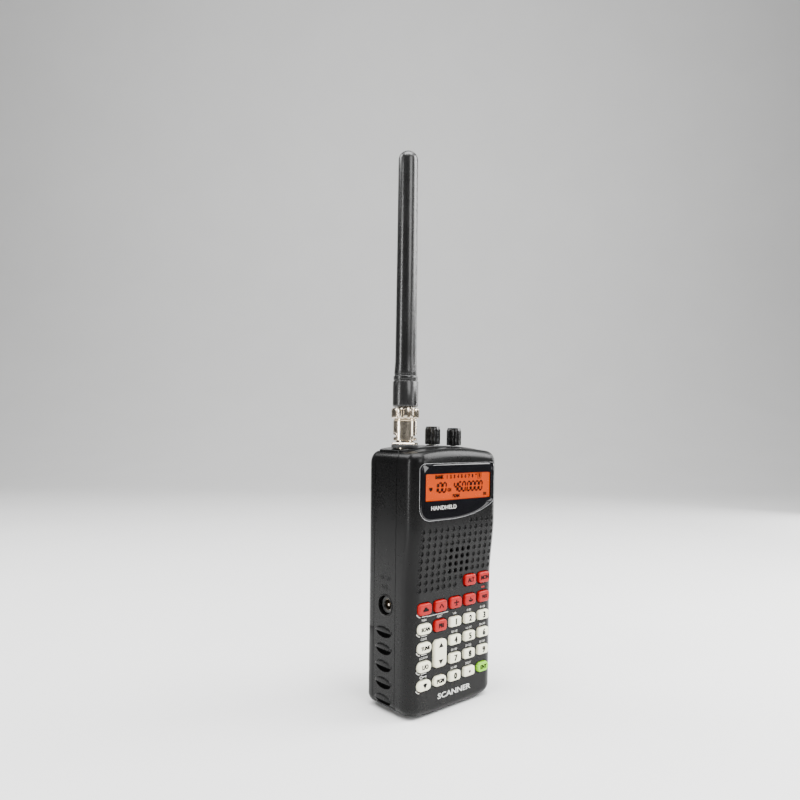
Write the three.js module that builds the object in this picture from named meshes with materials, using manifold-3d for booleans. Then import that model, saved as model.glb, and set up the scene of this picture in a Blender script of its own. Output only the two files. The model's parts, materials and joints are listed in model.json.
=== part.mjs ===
// A handheld radio scanner: a tall pocket-sized receiver with a keypad, an
// amber display, a perforated speaker area, two knobs and a rubber antenna on
// a bayonet connector. Millimetres, +Z up, the keypad faces -Y, and the origin
// is on the surface it stands on, at the middle of its width.

import * as THREE from 'three';
import { mergeVertices } from 'three/addons/utils/BufferGeometryUtils.js';
import Module from 'manifold-3d';

const wasm = await Module();
wasm.setup();

// ---------------------------------------------------------------- dimensions

// Case
const WIDTH = 62;
const HEIGHT = 136;
const KEYPAD_FACE = -16.5;
const HEAD_FACE = -19;
const BACK_FACE = 19;
const STEP_LOW = 66;
const STEP_HIGH = 98;
const FRONT_CORNER = 7;
const BACK_CORNER = 5;
const WALL = 1.6;
const SEAM = -5.3;
const SEAM_GAP = 0.3;
const BASE_FLAT = 12;
const BASE_ARCH = 2.2;
const TOP_ARCH = 2.6;
const BASE_END = { side: 4, depth: 4, rise: 4.5 };
const TOP_END = { side: 3.6, depth: 4.5, rise: 6 };
const DECK = { rise: 1, half: 28.8, back: 14 };
const FIT = 0.3;

// Keys: five columns and six rows, counted from the bottom left
const KEY_PITCH = 10.7;
const ROWS = { A: 66, B: 55.6, C: 45.6, D: 36.1, E: 26.6, F: 17.1 };
const KEY_PROUD = 1.5;
const FLANGE = 0.5;
const FLANGE_FRONT = -14.3;
const FLANGE_BACK = -13.8;
const WIDE_KEY = { w: 8.4, h: 5.8, r: 1.6 };
const NUMBER_KEY = { w: 8, h: 5, r: 1.2 };
const ROUND_KEY = { w: 8.5, h: 5.2, r: 2.2 };
const OVAL_KEY = { w: 8.6, h: 5.1, r: 2.5 };
const ROCKER = { w: 8.6, h: 14.1, r: 2.2 };
const ROCKER_Z = (ROWS.D + ROWS.E) / 2;

// Display
const LENS = { half: 26.9, top: 128.3, left: 100, right: 107.4, corner: 3 };
const LENS_FLOOR = -17.1;
const LENS_SEAT = -15.4;
const GLASS = { w: 50.4, h: 18, z: 116.4, front: -16.7, back: -14.3 };
const HOLDER = { w: 53.4, h: 21.2, front: -15.1, back: -11.2, lip: 0.3 };

// Speaker
const SPEAKER = { x: 2, z: 82.3, r: 12.5, front: -14.2, back: -8.2 };
const HOLE_PITCH_X = 4.15;
const HOLE_PITCH_Z = 3.7;
const HOLE_TOP_ROW = 94.5;
const HOLE_R = 1.2;
const HOLE_REACH = 9.4;

// Boards
const MAT = { half: 26.8, low: 11, high: 69.4, front: -12.9, back: -12.1 };
const MAIN_BOARD = { half: 27.2, low: 9, high: 69.3, front: -11.8, back: -10.8 };
const RF_BOARD = { half: 18, low: 62, high: 122, front: 2, back: 3.2 };
const SHIELD = { half: 15, low: 66, high: 104, depth: 6 };

// Batteries: four AA cells lying across the case, nested two deep
const CELL_R = 7.25;
const CELL_LENGTH = 49.3;
const CELL_Z = 14;
const CELL_STEP = 7.75;
const CELL_ROWS_Y = [9.6, -2.9];
const NUB = { r: 2.7, length: 1.2 };
const TRAY = { half: 27, wall: 0.8, low: 5.7, high: 45.4, front: -10.4, back: 16.3 };
const DOOR_TOP = 42;
const DOOR_FACE = 12;

// Top controls
const TOP_Y = 1;
const VOLUME_X = 15;
const SQUELCH_X = -1;
const KNOB = { r: 4.15, height: 9.6, gap: 0.6, flutes: 12, flute: 0.4, bore: 2.25, hole: 6.4, bevel: 0.5 };
const SHAFT_R = 2;
const POT = { size: 9.4, height: 6, bush: 3.3, bore: 2.25 };
const POT_TOP = 133;
const HEADPHONE_X = 24.5;

// Antenna and its bayonet connector
const ANTENNA_X = -20.5;
const JACK = { thread: 4.5, barrel: 4.85, bore: 4, low: 128, shoulder: 138.9, top: 149.4 };
const NUT = { flats: 13, low: 136.7, high: 138.6 };
const LUG = { r: 1, reach: 6.3, z: 142.6 };
const RING = { r: 7.25, skirt: 6.2, bore: 5.15, low: 139.6, knurl: 150.2, high: 156.4, neck: 3.9 };
const KNURL = { count: 16, out: 0.35, r: 0.7 };
const RING_TURN = Math.PI / 2;
const RING_LIFT = 1.8;
const SLOT = 2.7;
const PLUG = { pin: 0.75, collar: 4.6, stem: 3.6, low: 141.6, face: 149.8, high: 164.6 };
const WHIP = { foot: 6.6, boot: 170, base: 5.6, flare: 183, tip: 5.1, low: 156.8, high: 287 };

// Sockets in the sides
const POWER_JACK = { y: 2.6, z: 55.4, recess: 5.3, r: 4.3, bore: 2.9, pin: 1, x: 29.6, depth: 11 };
const DATA_JACK = { y: 6, z: 74, r: 3.2, bore: 1.85, x: 30.6, depth: 10 };

// Finger ribs on the sides of the rear case
const GRIP = { count: 5, low: 6.6, pitch: 8.8, y: 3.5, half: 6.8, rise: 2.6, depth: 0.6 };

// Belt clip
const CLIP = { half: 10.5, low: 62, high: 120, root: 94, plate: 1.8, gap: 5 };
const CLIP_SCREWS_Z = [101, 112];
const SCREW = { head: 2.7, head_height: 1.5, thread: 1.2, length: 5 };

// ---------------------------------------------------------------- materials

const colour = (hex, roughness, metalness = 0) =>
  new THREE.MeshStandardMaterial({ color: hex, roughness, metalness });

const FINISH = {
  black: colour(0x161617, 0.35),
  satin: colour(0x1c1c1e, 0.5),
  lens: colour(0x050506, 0.08),
  amber: colour(0xf0742a, 0.4),
  white: colour(0xe9ead9, 0.5),
  red: colour(0xd23c38, 0.5),
  green: colour(0x7fd23a, 0.5),
  rubber: colour(0x121212, 0.75),
  silicone: colour(0x5c5c58, 0.8),
  nickel: colour(0xb8ac9a, 0.28, 1),
  steel: colour(0xa9abad, 0.35, 1),
  board: colour(0x1f5a33, 0.6),
  frame: colour(0xd8d8d2, 0.6),
  paper: colour(0x2c2a28, 0.9),
  cell: colour(0x3a6ea8, 0.4),
};

// ------------------------------------------------------------------- helpers

const toSolid = (geometry) => {
  const bare = geometry.clone();
  bare.deleteAttribute('normal');
  bare.deleteAttribute('uv');
  const merged = mergeVertices(bare, 1e-4);
  const vertProperties = new Float32Array(merged.attributes.position.array);
  const triVerts = new Uint32Array(merged.index.array);
  return new wasm.Manifold(new wasm.Mesh({ numProp: 3, vertProperties, triVerts }));
};

const toGeometry = (solid) => {
  const mesh = solid.getMesh();
  const geometry = new THREE.BufferGeometry();
  geometry.setAttribute('position', new THREE.BufferAttribute(new Float32Array(mesh.vertProperties), 3));
  geometry.setIndex(new THREE.BufferAttribute(new Uint32Array(mesh.triVerts), 1));
  return geometry;
};

const join = (solids) => solids.reduce((whole, one) => whole.add(one));

const cut = (solid, tools) => tools.reduce((left, tool) => left.subtract(tool), solid);

const block = (x, y, z) => {
  const geometry = new THREE.BoxGeometry(x[1] - x[0], y[1] - y[0], z[1] - z[0]);
  geometry.translate((x[0] + x[1]) / 2, (y[0] + y[1]) / 2, (z[0] + z[1]) / 2);
  return toSolid(geometry);
};

// A round bar along an axis from its start; at gives its two other coordinates
const bar = (axis, radius, start, length, at, sides = 24) => {
  const geometry = new THREE.CylinderGeometry(radius, radius, length, sides);
  geometry.translate(0, length / 2, 0);
  if (axis === 'z') geometry.rotateX(Math.PI / 2).translate(at[0], at[1], start);
  if (axis === 'x') geometry.rotateZ(-Math.PI / 2).translate(start, at[0], at[1]);
  if (axis === 'y') geometry.translate(at[0], start, at[1]);
  return toSolid(geometry);
};

// A turned piece about a vertical axis through (x, y); profile is [radius, z]
const turned = (profile, x, y, sides = 24) => {
  const points = profile.map(([r, z]) => new THREE.Vector2(r, z));
  const geometry = new THREE.LatheGeometry([...points, points[0]], sides);
  geometry.rotateX(Math.PI / 2);
  geometry.translate(x, y, 0);
  return toSolid(geometry);
};

const roundedRect = (w, h, r, cx = 0, cz = 0) => {
  const shape = new THREE.Shape();
  const [x0, x1, z0, z1] = [cx - w / 2, cx + w / 2, cz - h / 2, cz + h / 2];
  shape.moveTo(x0 + r, z0);
  shape.lineTo(x1 - r, z0);
  shape.absarc(x1 - r, z0 + r, r, -Math.PI / 2, 0);
  shape.lineTo(x1, z1 - r);
  shape.absarc(x1 - r, z1 - r, r, 0, Math.PI / 2);
  shape.lineTo(x0 + r, z1);
  shape.absarc(x0 + r, z1 - r, r, Math.PI / 2, Math.PI);
  shape.lineTo(x0, z0 + r);
  shape.absarc(x0 + r, z0 + r, r, Math.PI, 1.5 * Math.PI);
  return shape;
};

// A front-view outline, made solid between two depths
const plate = (shape, front, back, curveSegments = 4) => {
  const depth = back - front;
  const geometry = new THREE.ExtrudeGeometry(shape, { depth, bevelEnabled: false, curveSegments });
  geometry.rotateX(Math.PI / 2);
  geometry.translate(0, back, 0);
  return toSolid(geometry);
};

const group = new THREE.Group();

const piece = (name, solid, material) => {
  const mesh = new THREE.Mesh(toGeometry(solid), material);
  mesh.name = name;
  group.add(mesh);
};

// ----------------------------------------------------------------- case form

const smooth = (t) => {
  const s = Math.min(1, Math.max(0, t));
  return s * s * (3 - 2 * s);
};

const frontFace = (z) => {
  const share = smooth((z - STEP_LOW) / (STEP_HIGH - STEP_LOW));
  return KEYPAD_FACE + (HEAD_FACE - KEYPAD_FACE) * share;
};

const topAt = (x) => HEIGHT - TOP_ARCH * (x / (WIDTH / 2)) ** 2;

const baseAt = (x) => BASE_ARCH * (Math.max(0, Math.abs(x) - BASE_FLAT) / (WIDTH / 2 - BASE_FLAT)) ** 2;

const CORNER_STEPS = 4;
const FACE_STEPS = 5;

// Half of a level section, from the left side round one face to the right side
const halfSection = (halfWidth, rx, ry) => {
  const points = [];
  for (let i = 0; i <= CORNER_STEPS; i += 1) {
    const a = (i / CORNER_STEPS) * (Math.PI / 2);
    points.push([-halfWidth + rx * (1 - Math.cos(a)), ry * (1 - Math.sin(a))]);
  }
  for (let i = 1; i < FACE_STEPS; i += 1) {
    points.push([(halfWidth - rx) * ((2 * i) / FACE_STEPS - 1), 0]);
  }
  for (let i = CORNER_STEPS; i >= 0; i -= 1) {
    const a = (i / CORNER_STEPS) * (Math.PI / 2);
    points.push([halfWidth - rx * (1 - Math.cos(a)), ry * (1 - Math.sin(a))]);
  }
  return points;
};

// One level of the case: share runs from 0 at the base to 1 at the top, and
// the section draws in by (inX, inY) towards both ends
const level = (share, inset, inX, inY) => {
  const halfWidth = WIDTH / 2 - inset - inX;
  const halfWith = (corner) => {
    const rx = Math.max(corner - inset - inX / 2, 1);
    return halfSection(halfWidth, rx, Math.max(corner - inset - inY, 1));
  };
  const front = halfWith(FRONT_CORNER);
  const back = halfWith(BACK_CORNER);
  const place = ([x, y], side) => {
    const low = baseAt(x) + inset;
    const high = topAt(x) - inset;
    const z = low + (high - low) * share;
    const face = side < 0 ? frontFace(z) + inset + inY + y : BACK_FACE - inset - inY - y;
    return new THREE.Vector3(x, face, z);
  };
  return [...front.map((p) => place(p, -1)), ...back.reverse().map((p) => place(p, 1))];
};

// The outer form of the case, or with an inset the form of its hollow
const caseForm = (inset) => {
  const tall = HEIGHT - 2 * inset;
  const rounding = ({ side, depth, rise }) => [90, 64, 40, 18, 0].map((degrees) => {
    const a = (degrees * Math.PI) / 180;
    const drawIn = 1 - Math.cos(a);
    return [((rise - inset) * (1 - Math.sin(a))) / tall, (side - inset) * drawIn, (depth - inset) * drawIn];
  });
  const steps = [STEP_LOW, 72, 77, 82, 87, 92, STEP_HIGH].map((z) => [(z - inset) / tall, 0, 0]);
  const tops = rounding(TOP_END).reverse().map(([share, inX, inY]) => [1 - share, inX, inY]);
  const shares = [...rounding(BASE_END), ...steps, ...tops];
  const rings = shares.map(([share, inX, inY]) => level(share, inset, inX, inY));
  const count = rings[0].length;
  const index = [];
  const quad = (a, b, c, d) => index.push(a, b, c, a, c, d);
  for (let k = 0; k + 1 < rings.length; k += 1) {
    for (let i = 0; i < count; i += 1) {
      const next = (i + 1) % count;
      quad(k * count + i, k * count + next, (k + 1) * count + next, (k + 1) * count + i);
    }
  }
  const last = (rings.length - 1) * count;
  for (let i = 0; i + 1 < count / 2; i += 1) {
    quad(count - 1 - i, count - 2 - i, i + 1, i);
    quad(last + i, last + i + 1, last + count - 2 - i, last + count - 1 - i);
  }
  const geometry = new THREE.BufferGeometry();
  geometry.setFromPoints(rings.flat());
  geometry.setIndex(index);
  return toSolid(geometry);
};

const outerForm = caseForm(0);
const shell = outerForm.subtract(caseForm(WALL));
const everywhere = [-100, 100];
const aheadOf = (y) => block(everywhere, [-100, y], [-50, 400]);
const behind = (y) => block(everywhere, [y, 100], [-50, 400]);

// --------------------------------------------------------------------- keys

// Each entry is a name, a column, a row, a size and a finish
const KEYS = [
  ['key_alert', 3, 'A', WIDE_KEY, 'red'],
  ['key_monitor', 4, 'A', WIDE_KEY, 'red'],
  ['key_service', 0, 'B', WIDE_KEY, 'red'],
  ['key_bank_up', 1, 'B', WIDE_KEY, 'red'],
  ['key_air', 2, 'B', WIDE_KEY, 'red'],
  ['key_marine', 3, 'B', WIDE_KEY, 'red'],
  ['key_weather', 4, 'B', WIDE_KEY, 'red'],
  ['key_scan', 0, 'C', ROUND_KEY, 'white'],
  ['key_priority', 1, 'C', WIDE_KEY, 'red'],
  ['key_1', 2, 'C', NUMBER_KEY, 'white'],
  ['key_2', 3, 'C', NUMBER_KEY, 'white'],
  ['key_3', 4, 'C', NUMBER_KEY, 'white'],
  ['key_tune', 0, 'D', ROUND_KEY, 'white'],
  ['key_4', 2, 'D', NUMBER_KEY, 'white'],
  ['key_5', 3, 'D', NUMBER_KEY, 'white'],
  ['key_6', 4, 'D', NUMBER_KEY, 'white'],
  ['key_lockout', 0, 'E', ROUND_KEY, 'white'],
  ['key_7', 2, 'E', NUMBER_KEY, 'white'],
  ['key_8', 3, 'E', NUMBER_KEY, 'white'],
  ['key_9', 4, 'E', NUMBER_KEY, 'white'],
  ['key_light', 0, 'F', ROUND_KEY, 'white'],
  ['key_program', 1, 'F', OVAL_KEY, 'white'],
  ['key_0', 2, 'F', NUMBER_KEY, 'white'],
  ['key_point', 3, 'F', NUMBER_KEY, 'white'],
  ['key_enter', 4, 'F', OVAL_KEY, 'green'],
];

const columnX = (column) => (column - 2) * KEY_PITCH;

const keyOutline = (size, grow, x, z) =>
  roundedRect(size.w + 2 * grow, size.h + 2 * grow, size.r + grow, x, z);

const keySolid = (size, x, z) => {
  const cap = plate(keyOutline(size, 0, x, z), KEYPAD_FACE - KEY_PROUD, FLANGE_BACK, 2);
  const halfW = size.w / 2 + FLANGE;
  const halfH = size.h / 2 + FLANGE;
  const flange = block([x - halfW, x + halfW], [FLANGE_FRONT, FLANGE_BACK], [z - halfH, z + halfH]);
  return cap.add(flange);
};

// --------------------------------------------------------------- front case

const lensOutline = (grow) => {
  const { top, left, right, corner } = LENS;
  const half = LENS.half + grow;
  const shape = new THREE.Shape();
  shape.moveTo(-half + 7, left - grow);
  shape.lineTo(-6, left - grow);
  shape.bezierCurveTo(8, left - grow, 20, right - 3.4 - grow, half - 1.6, right - grow);
  shape.quadraticCurveTo(half, right + 0.6 - grow, half, right + 2.4);
  shape.lineTo(half, top + grow - corner);
  shape.absarc(half - corner, top + grow - corner, corner, 0, Math.PI / 2);
  shape.lineTo(-half + corner, top + grow);
  shape.absarc(-half + corner, top + grow - corner, corner, Math.PI / 2, Math.PI);
  shape.lineTo(-half, left + 7 - grow);
  shape.bezierCurveTo(-half, left + 2.5 - grow, -half + 2.5, left - grow, -half + 7, left - grow);
  return shape;
};

const glassOutline = (grow, corner) =>
  roundedRect(GLASS.w + 2 * grow, GLASS.h + 2 * grow, corner, 0, GLASS.z);

// Cuts start ahead of the face, and these two end just inside the wall
const CUT_FRONT = HEAD_FACE - 5;
const KEY_CUT_BACK = -13;
const GLASS_CUT_BACK = -10;

const keyOpening = (size, x, z) => plate(keyOutline(size, FIT, x, z), CUT_FRONT, KEY_CUT_BACK, 2);

const speakerHoles = () => {
  const holes = [];
  for (let column = 0; column < 13; column += 1) {
    for (let row = 0; row < 9; row += 1) {
      const x = (column - 6) * HOLE_PITCH_X;
      const z = HOLE_TOP_ROW - row * HOLE_PITCH_Z;
      if (Math.hypot(x - SPEAKER.x, z - SPEAKER.z + 3) < HOLE_REACH) {
        holes.push(bar('y', HOLE_R, HEAD_FACE - 1, 8, [x, z], 6));
      }
    }
  }
  return holes;
};

const frontCase = () => {
  const seat = plate(lensOutline(1.2), HEAD_FACE + 1, LENS_SEAT, 6).intersect(outerForm);
  const body = shell.add(seat).intersect(aheadOf(SEAM - SEAM_GAP / 2));
  const openings = [
    plate(lensOutline(FIT), CUT_FRONT, LENS_FLOOR + FIT, 6),
    plate(glassOutline(FIT, 0.6), CUT_FRONT, GLASS_CUT_BACK, 1),
    ...KEYS.map(([, column, row, size]) => keyOpening(size, columnX(column), ROWS[row])),
    keyOpening(ROCKER, columnX(1), ROCKER_Z),
    ...speakerHoles(),
  ];
  return cut(body, openings);
};

// ---------------------------------------------------------------- rear case

const clipScrew = (z) => {
  const face = BACK_FACE + FIT + CLIP.plate;
  const head = bar('y', SCREW.head, face + 0.1, SCREW.head_height, [0, z], 16);
  const thread = bar('y', SCREW.thread, face + 0.2 - SCREW.length, SCREW.length, [0, z], 12);
  return head.add(thread);
};

const clipBores = (radius) => CLIP_SCREWS_Z.map((z) => bar('y', radius, WALL, 40, [0, z], 12));

// The raised deck that the knobs and the antenna stand on
const deck = () => {
  const area = block([-DECK.half, DECK.half], [SEAM + SEAM_GAP / 2, DECK.back], [HEIGHT - 12, HEIGHT + 5]);
  return outerForm.translate(0, 0, DECK.rise).intersect(area).subtract(caseForm(WALL));
};

// Brow-shaped ribs down both sides, for the fingers
const gripRibs = () => {
  const ribs = [];
  [-1, 1].forEach((side) => {
    for (let i = 0; i < GRIP.count; i += 1) {
      const z = GRIP.low + i * GRIP.pitch;
      const geometry = new THREE.SphereGeometry(1, 12, 8);
      geometry.rotateX(Math.PI / 2);
      geometry.scale(GRIP.depth, GRIP.half, GRIP.rise);
      geometry.translate((side * WIDTH) / 2, GRIP.y, z);
      const upperHalf = block(everywhere, everywhere, [z, z + 10]);
      ribs.push(toSolid(geometry).intersect(upperHalf).subtract(caseForm(WALL / 2)));
    }
  });
  return ribs;
};

const rearCase = () => {
  const body = shell.intersect(behind(SEAM + SEAM_GAP / 2)).add(deck()).add(join(gripRibs()));
  const openings = [
    block(everywhere, [DOOR_FACE - SEAM_GAP, 100], [-50, DOOR_TOP + SEAM_GAP]),
    bar('x', POWER_JACK.recess, -40, 15, [POWER_JACK.y, POWER_JACK.z], 20),
    bar('x', DATA_JACK.r + FIT, 20, 20, [DATA_JACK.y, DATA_JACK.z], 16),
    bar('z', JACK.thread + FIT, 125, 20, [ANTENNA_X, TOP_Y]),
    bar('z', POT.bush + FIT, 125, 20, [SQUELCH_X, TOP_Y], 16),
    bar('z', POT.bush + FIT, 125, 20, [VOLUME_X, TOP_Y], 16),
    bar('z', DATA_JACK.r + FIT, 125, 20, [HEADPHONE_X, TOP_Y], 16),
    ...clipBores(SCREW.thread + 0.2),
  ];
  return cut(body, openings);
};

const batteryDoor = () => {
  const opening = block(everywhere, [DOOR_FACE, 100], [-50, DOOR_TOP]);
  return shell.intersect(opening);
};

// ------------------------------------------------------------ top and sockets

const knobOutline = () => {
  const shape = new THREE.Shape();
  const steps = KNOB.flutes * 2;
  for (let i = 0; i < steps; i += 1) {
    const r = KNOB.r - (i % 2) * KNOB.flute;
    const a = (i / steps) * 2 * Math.PI;
    const move = i === 0 ? 'moveTo' : 'lineTo';
    shape[move](r * Math.cos(a), r * Math.sin(a));
  }
  return shape;
};

const deckAt = (x) => topAt(x) + DECK.rise;

const knobFoot = (x) => deckAt(x) + KNOB.gap;

const knob = (x) => {
  const { bevel } = KNOB;
  const geometry = new THREE.ExtrudeGeometry(knobOutline(), {
    depth: KNOB.height - 2 * bevel,
    bevelThickness: bevel,
    bevelSize: bevel,
    bevelOffset: -bevel,
    bevelSegments: 1,
  });
  geometry.translate(x, TOP_Y, knobFoot(x) + bevel);
  const foot = knobFoot(x);
  return toSolid(geometry).subtract(bar('z', KNOB.bore, foot - 1, KNOB.hole + 1, [x, TOP_Y], 16));
};

const shaft = (x) => {
  const low = POT_TOP - 2;
  const high = knobFoot(x) + KNOB.hole - FIT;
  return bar('z', SHAFT_R, low, high - low, [x, TOP_Y], 16);
};

const pot = (x) => {
  const half = POT.size / 2;
  const body = block([x - half, x + half], [TOP_Y - half, TOP_Y + half], [POT_TOP - POT.height, POT_TOP]);
  const low = POT_TOP - 1;
  const bush = bar('z', POT.bush, low, deckAt(x) + FIT - low, [x, TOP_Y], 16);
  return body.add(bush).subtract(bar('z', POT.bore, POT_TOP - 2.3, 20, [x, TOP_Y], 16));
};

const roundSocket = (axis, start, at, bore) =>
  bar(axis, DATA_JACK.r, start, DATA_JACK.depth, at, 16).subtract(bore);

const powerJack = () => {
  const { y, z, r, bore, pin, x, depth } = POWER_JACK;
  const barrel = bar('x', r, -x, depth, [y, z], 20);
  const hollow = bar('x', bore, -x - 1, depth - 1, [y, z], 16);
  return barrel.subtract(hollow).add(bar('x', pin, -x + 1, depth - 1.5, [y, z], 10));
};

// ------------------------------------------------------------------- antenna

const bncJack = () => {
  const { thread, barrel, bore, low, shoulder, top } = JACK;
  const body = turned([[0, low], [thread, low], [thread, shoulder], [barrel, shoulder],
    [barrel, top], [bore, top], [bore, PLUG.low - 1], [1.3, PLUG.low - 1],
    [1.3, low + 2], [0, low + 2]], ANTENNA_X, TOP_Y);
  const lugs = bar('x', LUG.r, ANTENNA_X - LUG.reach, 2 * LUG.reach, [TOP_Y, LUG.z], 10);
  const hollow = bar('z', bore, LUG.z - 3, 6, [ANTENNA_X, TOP_Y]);
  return body.add(lugs.subtract(hollow));
};

const bncNut = () => {
  const corner = NUT.flats / Math.sqrt(3);
  const geometry = new THREE.CylinderGeometry(corner, corner, NUT.high - NUT.low, 6);
  geometry.rotateX(Math.PI / 2);
  geometry.translate(ANTENNA_X, TOP_Y, (NUT.low + NUT.high) / 2);
  return toSolid(geometry).subtract(bar('z', JACK.thread + 0.2, 130, 20, [ANTENNA_X, TOP_Y]));
};

// The slots follow the lugs as the ring turns and climbs, then run out of the
// ring's lower edge
const ringSlots = () => {
  const steps = 6;
  const slots = [];
  const slotBox = (angle, low, high) => {
    const geometry = new THREE.BoxGeometry(10, SLOT, high - low);
    geometry.translate(0, 0, (low + high) / 2);
    const [near, far] = [geometry.clone().translate(8.5, 0, 0), geometry.translate(-8.5, 0, 0)];
    return [near, far].map((one) => toSolid(one.rotateZ(angle).translate(ANTENNA_X, TOP_Y, 0)));
  };
  for (let i = 0; i <= steps; i += 1) {
    const share = i / steps;
    const z = LUG.z - RING_LIFT * share;
    slots.push(...slotBox(-RING_TURN * share, z - SLOT / 2, z + SLOT / 2));
  }
  slots.push(...slotBox(-RING_TURN, RING.low - 1, LUG.z - RING_LIFT));
  return slots;
};

const bayonetRing = () => {
  const { r, skirt, bore, low, knurl, high, neck } = RING;
  const profile = [[bore, low], [skirt, low], [skirt, knurl], [r, knurl + 0.4], [r, high - 0.4],
    [r - 0.4, high], [neck, high], [neck, PLUG.face + 1.2], [bore, PLUG.face + 1.2]];
  const flutes = [];
  for (let i = 0; i < KNURL.count; i += 1) {
    const a = (i / KNURL.count) * 2 * Math.PI;
    const out = r + KNURL.out;
    const at = [ANTENNA_X + out * Math.cos(a), TOP_Y + out * Math.sin(a)];
    flutes.push(bar('z', KNURL.r, knurl + 0.1, 10, at, 4));
  }
  return cut(turned(profile, ANTENNA_X, TOP_Y, 32), [...ringSlots(), ...flutes]);
};

const antennaPlug = () => {
  const { pin, collar, stem, low, face, high } = PLUG;
  return turned([[0, low], [pin, low], [pin, face - 0.1], [collar, face - 0.1], [collar, face + 0.9],
    [stem, face + 0.9], [stem, high], [0, high]], ANTENNA_X, TOP_Y, 20);
};

const antennaWhip = () => {
  const { foot, boot, base, flare, tip, low, high } = WHIP;
  const bore = PLUG.stem + 0.25;
  const domeHeight = tip * 0.8;
  const dome = [0, 30, 55, 78].map((degrees) => {
    const a = (degrees * Math.PI) / 180;
    return [tip * Math.cos(a), high - domeHeight * (1 - Math.sin(a))];
  });
  const middle = (boot + flare) / 2;
  return turned([[bore, low], [foot - 0.3, low], [foot, low + 0.6], [foot, boot],
    [base + 0.25, middle], [base, flare], ...dome, [0, high], [0, PLUG.high + 0.4],
    [bore, PLUG.high + 0.4]], ANTENNA_X, TOP_Y);
};

// ------------------------------------------------------------------ belt clip

const beltClip = () => {
  const inner = BACK_FACE + FIT;
  const { half, low, high, root, plate: thick, gap } = CLIP;
  const outer = inner + thick + gap;
  const profile = new THREE.Shape();
  profile.moveTo(inner, root);
  profile.lineTo(inner, high - 1);
  profile.quadraticCurveTo(inner, high, inner + 1, high);
  profile.lineTo(outer + thick - 3, high);
  profile.quadraticCurveTo(outer + thick, high, outer + thick, high - 3);
  profile.lineTo(outer + thick, low + 3);
  profile.lineTo(outer + thick + 1.5, low);
  profile.lineTo(outer + 0.2, low);
  profile.lineTo(outer - 1, low + 3);
  profile.lineTo(outer, low + 9);
  profile.lineTo(outer, high - thick - 1);
  profile.quadraticCurveTo(outer, high - thick, outer - 1, high - thick);
  profile.lineTo(inner + thick + 1, high - thick);
  profile.quadraticCurveTo(inner + thick, high - thick, inner + thick, high - thick - 1);
  profile.lineTo(inner + thick, root);
  const extrusion = { depth: 2 * half, bevelEnabled: false, curveSegments: 3 };
  const geometry = new THREE.ExtrudeGeometry(profile, extrusion);
  // The profile is drawn depth first, height second, and lies across the width
  geometry.applyMatrix4(new THREE.Matrix4().set(0, 0, 1, -half, 1, 0, 0, 0, 0, 1, 0, 0, 0, 0, 0, 1));
  const access = CLIP_SCREWS_Z.map((z) => bar('y', SCREW.head + 0.6, outer - 1, 10, [0, z], 16));
  return cut(toSolid(geometry), [...clipBores(SCREW.thread + 0.2), ...access]);
};

// ------------------------------------------------------------------- inside

const cell = (index) => {
  const at = [CELL_ROWS_Y[index % 2], CELL_Z + index * CELL_STEP];
  const way = index % 2 ? 1 : -1;
  const can = bar('x', CELL_R, (-CELL_LENGTH - NUB.length * way) / 2, CELL_LENGTH, at, 20);
  const end = (way * (CELL_LENGTH - NUB.length)) / 2;
  const start = way > 0 ? end - 1 : end - NUB.length;
  return can.add(bar('x', NUB.r, start, NUB.length + 1, at, 12));
};

const tray = () => {
  const { half, wall, low, high, front, back } = TRAY;
  const outside = block([-half, half], [front, back], [low, high]);
  const hollow = block([-half + wall, half - wall], everywhere, [low + wall - 0.2, high - wall + 0.2]);
  return outside.subtract(hollow);
};

const lcdHolder = () => {
  const body = plate(roundedRect(HOLDER.w, HOLDER.h, 1, 0, GLASS.z), HOLDER.front, HOLDER.back, 1);
  return body.subtract(plate(glassOutline(FIT, 0.4), CUT_FRONT, GLASS.back + HOLDER.lip, 1));
};

const speakerParts = () => {
  const { x, z, r, front, back } = SPEAKER;
  const rim = bar('y', r, front, 1.6, [x, z], 28);
  const basket = bar('y', r - 4, front, back - front, [x, z], 20);
  const hollow = bar('y', r - 1.2, front - 1, 2, [x, z], 28);
  const well = bar('y', r - 5.5, front - 1, 4, [x, z], 20);
  const cone = bar('y', r - 1.6, front + 0.2, 0.5, [x, z], 28);
  const cap = bar('y', 3.4, front - 0.6, 1.2, [x, z], 16);
  return { frame: cut(rim.add(basket), [hollow, well]), cone: cone.add(cap) };
};

// ------------------------------------------------------------------ assembly

piece('front_case', frontCase(), FINISH.black);
piece('rear_case', rearCase(), FINISH.black);
piece('battery_door', batteryDoor(), FINISH.satin);

const lens = plate(lensOutline(0), CUT_FRONT, LENS_FLOOR, 6).intersect(outerForm);
piece('display_lens', lens, FINISH.lens);
piece('lcd_panel', plate(glassOutline(0, 0.3), GLASS.front, GLASS.back, 1), FINISH.amber);
piece('lcd_holder', lcdHolder(), FINISH.frame);

const speaker = speakerParts();
piece('speaker_frame', speaker.frame, FINISH.steel);
piece('speaker_cone', speaker.cone, FINISH.paper);

KEYS.forEach(([name, column, row, size, finish]) => {
  piece(name, keySolid(size, columnX(column), ROWS[row]), FINISH[finish]);
});
piece('rocker_key', keySolid(ROCKER, columnX(1), ROCKER_Z), FINISH.white);

const board = (name, { half, low, high, front, back }, finish) => {
  piece(name, block([-half, half], [front, back], [low, high]), finish);
};
board('keypad_mat', MAT, FINISH.silicone);
board('main_board', MAIN_BOARD, FINISH.board);
board('rf_board', RF_BOARD, FINISH.board);
const shieldFront = RF_BOARD.back + 0.2;
board('rf_shield', { ...SHIELD, front: shieldFront, back: shieldFront + SHIELD.depth }, FINISH.steel);

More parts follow.
